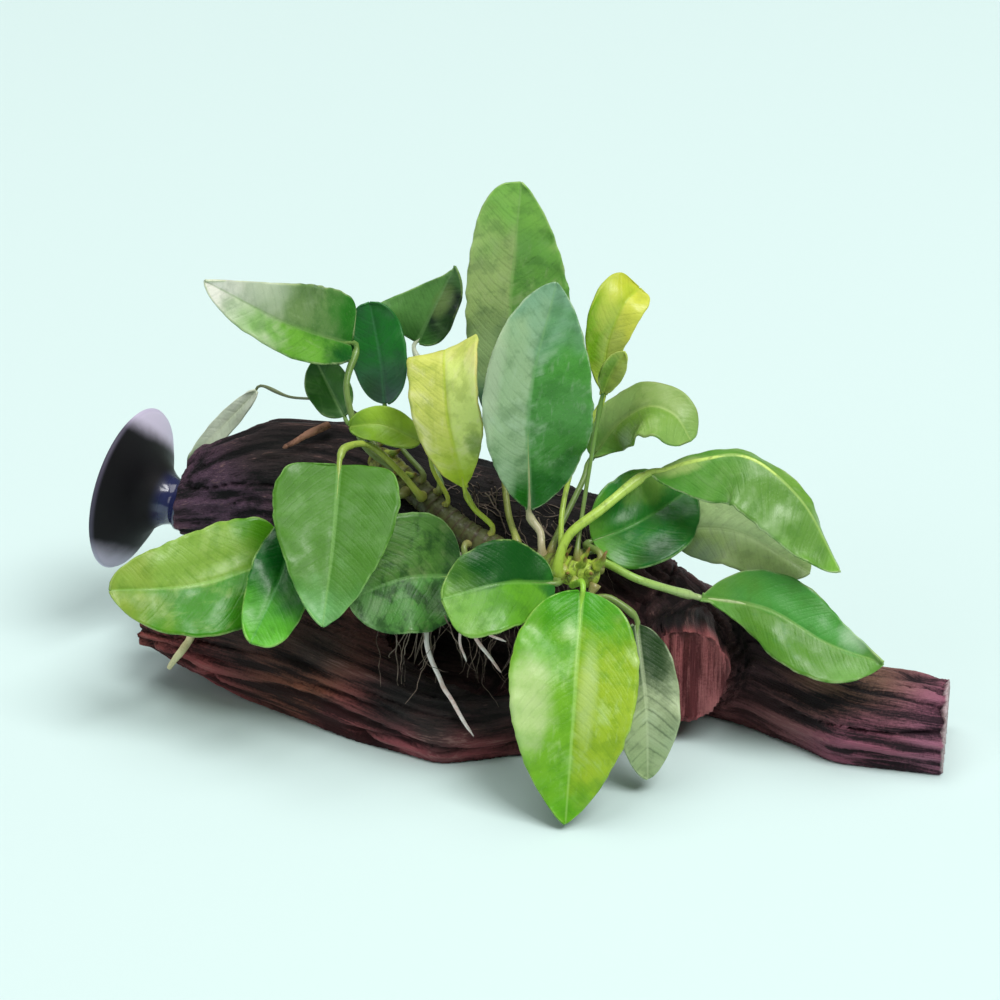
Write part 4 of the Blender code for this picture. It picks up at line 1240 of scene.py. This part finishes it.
def stalk_radius(share, joint, plain):
    """Radius in mm: a sheath at the foot, a swelling at the joint, and a rib that thins to the tip."""
    if share > joint:
        return 0.12 + 0.66 * plain * (1 - (share - joint) / (1 - joint)) ** 0.8
    foot = 0.85 * plain * math.exp(-((share / joint) / 0.10) ** 2)
    swelling = 0.18 * math.exp(-((share - joint * 0.94) / 0.04) ** 2)
    return plain - 0.05 + foot + swelling


def stem_frame(share, angle):
    """A place on the creeping stem: its middle, its direction, and the way out at an angle in degrees."""
    along = rhizome_rail.along(share)
    side = along.cross(UP).normalized()
    outward = -side * math.cos(math.radians(angle)) + side.cross(along) * math.sin(math.radians(angle))
    return rhizome_rail.at(share), along, outward


def make_stalk(leaf):
    blade_rail = blade_rails[leaf.name]
    middle, _, outward = stem_frame(*leaf.root)
    points = [middle + outward * (RHIZOME_RADIUS + reach) * MM for reach in STALK_STARTS]
    points += mm(leaf.bends) + [blade_rail.at(0) - blade_rail.along(0) * STALK_ENDS_BEFORE * MM]
    joint_length = sum((b - a).length for a, b in zip(points, points[1:]))
    for under in RIB_SHARES:
        _, up, _ = blade_frame(leaf, blade_rail, under)
        depth = RIB_DEPTHS[0] + (RIB_DEPTHS[1] - RIB_DEPTHS[0]) * under
        points.append(blade_rail.at(under) - up * depth * MM)
    rail = Rail(points)
    joint = joint_length / rail.lengths[-1]
    bm = bmesh.new()
    stations = max(30, round(rail.lengths[-1] / MM / STALK_STATION))
    add_rod(bm, rail, lambda share: stalk_radius(share, joint, leaf.stalk) * MM, stations, STALK_SIDES)
    piece_from("petiole_" + leaf.name, bm, [stalk_finish(leaf.name)], ["stalk_" + leaf.name], "stalk")


rhizome_rail = Rail(mm(RHIZOME))
for leaf in LEAVES:
    make_stalk(leaf)
print(len(LEAVES), "stalks")

# %% [markdown]
# ## The creeping stem
# The rhizome is a thick green stem that lies on the wood. Each fallen leaf leaves a ring round it, and
# its young end is yellow green, with small pointed scales that wrap the next leaf. The rings are made
# by the rod's radius, so that they are real steps in the mesh.

# %% Finishes of the creeping stem
RING_PITCH = 2.7


def rhizome_finish():
    finish = Finish("rhizome_skin", IOR=1.45, Coat_Weight=0.2, Coat_Roughness=0.25)
    distance, share, _ = finish.parts(finish.attribute("rod"))
    place = finish.place()
    fleck = finish.cloud(place, 500, 4, 0.65)
    ring = finish.lines(distance + fleck * 0.8, RING_PITCH, 0.5)
    colour = finish.blend(finish.smooth(share, 0.10, 0.24), (178, 206, 72), (84, 88, 44))
    colour = finish.blend(finish.smooth(share, 0.72, 0.92) * 0.7, colour, (170, 172, 66))
    colour = finish.blend(finish.smooth(fleck, 0.46, 0.64) * 0.7, colour, (58, 48, 26))
    colour = finish.blend(ring * 0.6, colour, (74, 52, 32))
    finish.skin(colour, 0.4 + fleck * 0.3, fleck + ring * 0.5, 0.25 * MM)
    return finish


def bud_finish():
    """The young scales on the stem's crown, brown only at their tips."""
    finish = Finish("bud_skin", IOR=1.45, Coat_Weight=0.2, Coat_Roughness=0.25)
    _, share, _ = finish.parts(finish.attribute("rod"))
    fleck = finish.cloud(finish.place(), 400, 3, 0.6)
    colour = finish.blend(finish.smooth(fleck, 0.4, 0.62), (190, 206, 84), (132, 158, 52))
    colour = finish.blend(finish.smooth(share + (fleck - 0.5) * 0.4, 0.55, 0.95), colour, (130, 96, 52))
    finish.feed('Base Color', colour)
    finish.feed('Roughness', 0.42 + fleck * 0.2)
    return finish


# %% Steps of the creeping stem
RING_DRIFT = 2.0
RING_DRIFT_SIZE = 7
RING_STEP = 0.35
ROUNDED_END = 3.2


def rhizome_radius(share):
    """Radius in mm, with a step at each leaf scar and two rounded ends."""
    distance = share * rhizome_rail.lengths[-1] / MM
    uneven = distance + RING_DRIFT * noise.noise(Vector((distance / RING_DRIFT_SIZE, 0, 0)))
    ring = abs((uneven / RING_PITCH) % 1 - 0.5) * 2
    end = min(distance, (1 - share) * rhizome_rail.lengths[-1] / MM)
    rounded = math.sqrt(max(0.02, 1 - (1 - min(end / ROUNDED_END, 1.0)) ** 2))
    return (RHIZOME_RADIUS - RING_STEP * ring ** 4) * rounded


# %% Bud scales
BUD_SCALES = [      # share along the stem, angle round it in degrees, length and radius in mm
    (0.00, 80, 5.5, 1.2), (0.02, 30, 4.5, 1.0), (0.03, 130, 4.8, 1.0), (0.06, 60, 6.0, 1.1),
    (0.08, 105, 5.0, 0.9), (0.11, 20, 4.0, 0.9), (0.14, 75, 4.2, 0.8), (0.17, 130, 4.5, 0.8),
    (0.84, 70, 5.0, 0.9), (0.90, 40, 5.5, 1.0), (0.95, 95, 4.8, 1.0), (0.99, 60, 5.0, 0.9),
]
BUD_SINKS = 1.0
BUD_LEAN = 0.7
BUD_BEND = 0.5


def add_bud_scale(bm, share, angle, length, radius):
    """A pointed scale that stands on the stem and leans towards its growing tip."""
    middle, along, outward = stem_frame(share, angle)
    foot = middle + outward * (RHIZOME_RADIUS - BUD_SINKS) * MM
    tip = foot + (outward - along * BUD_LEAN).normalized() * length * MM
    bend = foot.lerp(tip, 0.5) - along * BUD_BEND * MM
    add_rod(bm, Rail([foot, bend, tip]), lambda s: radius * (1 - s) ** 0.6 * MM + 0.04 * MM, 10, 10)


# %% Creeping stem
STEM_BUMPS = 0.3
STEM_BUMP_SIZE = 4


def make_rhizome():
    bm = bmesh.new()
    add_rod(bm, rhizome_rail, lambda share: rhizome_radius(share) * MM, stations=190, sides=28)
    roughen(bm, STEM_BUMP_SIZE, STEM_BUMPS)
    stem_faces = set(bm.faces)
    for bud_scale in BUD_SCALES:
        add_bud_scale(bm, *bud_scale)
    for face in set(bm.faces) - stem_faces:
        face.material_index = 1
    return piece_from("creeping_stem", bm, [rhizome_finish(), bud_finish()], ["rhizome"], "rhizome")


rhizome = make_rhizome()
print("creeping stem has", len(rhizome.data.polygons), "faces")

# %% [markdown]
# ## Roots
# Thick white roots hold the plant to the wood, and hair-thin ones fill the dark hollow. Each thick root
# follows the points of its solid, with small kinks. The hair roots are walked step by step downwards
# from the stem, and a step that would enter the wood is put back on its skin, as a growing root does.

# %% Root tables, in mm
ROOTS = {
    "root_long": ([(-13.2, -6.4, 43.2), (-14.5, -9, 42.8), (-19, -17, 38), (-22.5, -25, 30), (-19, -28, 20),
                   (-14.5, -31.8, 13.2), (-11.1, -33.3, 8)], 0.7),
    "root_middle": ([(-7, -9.2, 41.1), (-10.5, -18, 37), (-11, -24, 31), (-8, -26, 26), (-4.5, -27, 22)],
                    0.6),
    "root_left": ([(-10, -7.9, 41.8), (-12, -16.5, 36), (-14.5, -23, 30), (-13, -26, 24)], 0.45),
    "root_right": ([(-1, -12.2, 40.1), (-6, -20, 35), (-8, -24, 31), (-3.5, -26, 29.5)], 0.5),
    "root_on_arm": ([(-79.6, -0.4, 21.4), (-80.7, -2.4, 17.8), (-82.3, -3, 15.3), (-84.2, -2.5, 12.2),
                     (-86.7, 0.6, 7.6)], 1.1),
    "old_stalk": ([(-47, 25.9, 62), (-50, 24, 61.4), (-53, 22.2, 60.7), (-56.3, 20.5, 59.4),
                   (-58.3, 19.5, 58.5)], 1.0),
}
ROOT_TONES = {
    "root_on_arm": ((236, 226, 176), (204, 190, 140)),
    "old_stalk": ((166, 120, 96), (84, 54, 42)),
}
WHITE_ROOT = ((255, 244, 240), (228, 198, 190))
print(len(ROOTS), "tables of points")

# %% Thick roots
ROOT_KNOTS = 0.16           # share of the radius
ROOT_THINS = 0.45           # share of the radius that is lost towards the tip
ROOT_KINKS = 0.35
ROOT_KINK_SIZE = 5


def root_finish(name, pale, dark):
    finish = Finish(name + "_skin", IOR=1.4)
    distance, _, _ = finish.parts(finish.attribute("rod"))
    fleck = finish.cloud(finish.place(), 700, 4, 0.7)
    patch = finish.cloud(finish.place(), 160, 2)
    colour = finish.blend(finish.smooth(patch * 0.6 + fleck * 0.4, 0.45, 0.62), pale, dark)
    finish.skin(colour, 0.5 + fleck * 0.3, fleck + finish.zigzag(distance, 0.8) * 0.2, 0.15 * MM)
    return finish


def make_root(name, points, radius):
    rail = Rail(mm(points))
    bm = bmesh.new()

    def radius_at(share):
        knots = 1 + ROOT_KNOTS * noise.noise(Vector((share * 14, radius * 9, 3.0)))
        return radius * knots * (1 - ROOT_THINS * share ** 2) * min(1.0, 0.35 + 14 * (1 - share)) * MM

    add_rod(bm, rail, radius_at, stations=44, sides=12)
    for vertex in bm.verts:
        vertex.co += noise.noise_vector(vertex.co / (ROOT_KINK_SIZE * MM)) * ROOT_KINKS * MM
    piece_from("hanging_" + name, bm, [root_finish(name, *ROOT_TONES.get(name, WHITE_ROOT))], [name], "root")


for name, (points, radius) in ROOTS.items():
    make_root(name, points, radius)
print(len(ROOTS), "thick roots")

# %% Table of hair roots, in mm
HAIR_STEP = 1.5
HAIR_WANDER = 0.42
HAIR_FALL = 0.10            # how much it turns down at each step
HAIR_NEAR = 0.2             # a hair that comes nearer than this to the wood's skin
HAIR_CLEARS = 0.25          # is put back to this height over it
HAIR_GROUND = 0.4
HAIR_RADII = (0.10, 0.20)
HAIR_EXTRA_STEPS = (-6, 3)
HAIR_SHORTEST = 4
HAIR_BEDS = [      # middle of the start in mm, spread, count, steps, first direction
    ((-6, -12, 41), (9, 3, 2), 30, 22, (-.1, -.5, -1)),
    ((-20, -3, 46), (8, 3, 2), 12, 14, (-.2, -.7, -.8)),
    ((12, -16, 42), (6, 3, 2), 10, 12, (.1, -.2, -1)),
    ((-25, -23, 33), (8, 3, 3), 16, 12, (.05, -.1, -1)),
    ((-10, 4, 54), (12, 5, 2), 26, 16, (.3, .4, -.6)),
    ((8, -4, 50), (9, 5, 2), 18, 14, (.5, .2, -.6)),
]
print(sum(count for _, _, count, _, _ in HAIR_BEDS), "hair roots to grow")


# %% Hair roots
def hair_path(start, heading, steps, chance):
    """Points of one hair root that creeps down and stays outside the wood."""
    point = start
    path = [point]
    for _ in range(steps):
        jitter = Vector([chance.uniform(-1, 1) for _ in range(3)])
        heading = (heading + jitter * HAIR_WANDER - UP * HAIR_FALL).normalized()
        point = point + heading * HAIR_STEP * MM
        skin, normal, _, _ = wood_skin.find_nearest(point)
        if (point - skin).dot(normal) < HAIR_NEAR * MM:
            point = skin + normal * HAIR_CLEARS * MM
        if point.z < HAIR_GROUND * MM:
            break
        path.append(point)
    return path


def make_hair_roots():
    chance = random.Random(SEED)
    bm = bmesh.new()
    for middle, spread, count, steps, heading in HAIR_BEDS:
        for _ in range(count):
            start = Vector([m + s * chance.uniform(-1, 1) for m, s in zip(middle, spread)]) * MM
            path = hair_path(start, Vector(heading), steps + chance.randint(*HAIR_EXTRA_STEPS), chance)
            if len(path) < HAIR_SHORTEST:
                continue
            thick = chance.uniform(*HAIR_RADII) * MM
            strand = bmesh.new()
            add_rod(strand, Rail(path), lambda share: thick * (1 - 0.6 * share), len(path) * 3, 5)
            carrier = mesh_from("strand", strand)
            bm.from_mesh(carrier)
            bpy.data.meshes.remove(carrier)
    finish = root_finish("hair_root", (132, 116, 104), (58, 46, 40))
    return piece_from("hair_roots", bm, [finish], [], "root")


hair_roots = make_hair_roots()
print("hair roots have", len(hair_roots.data.polygons), "faces")
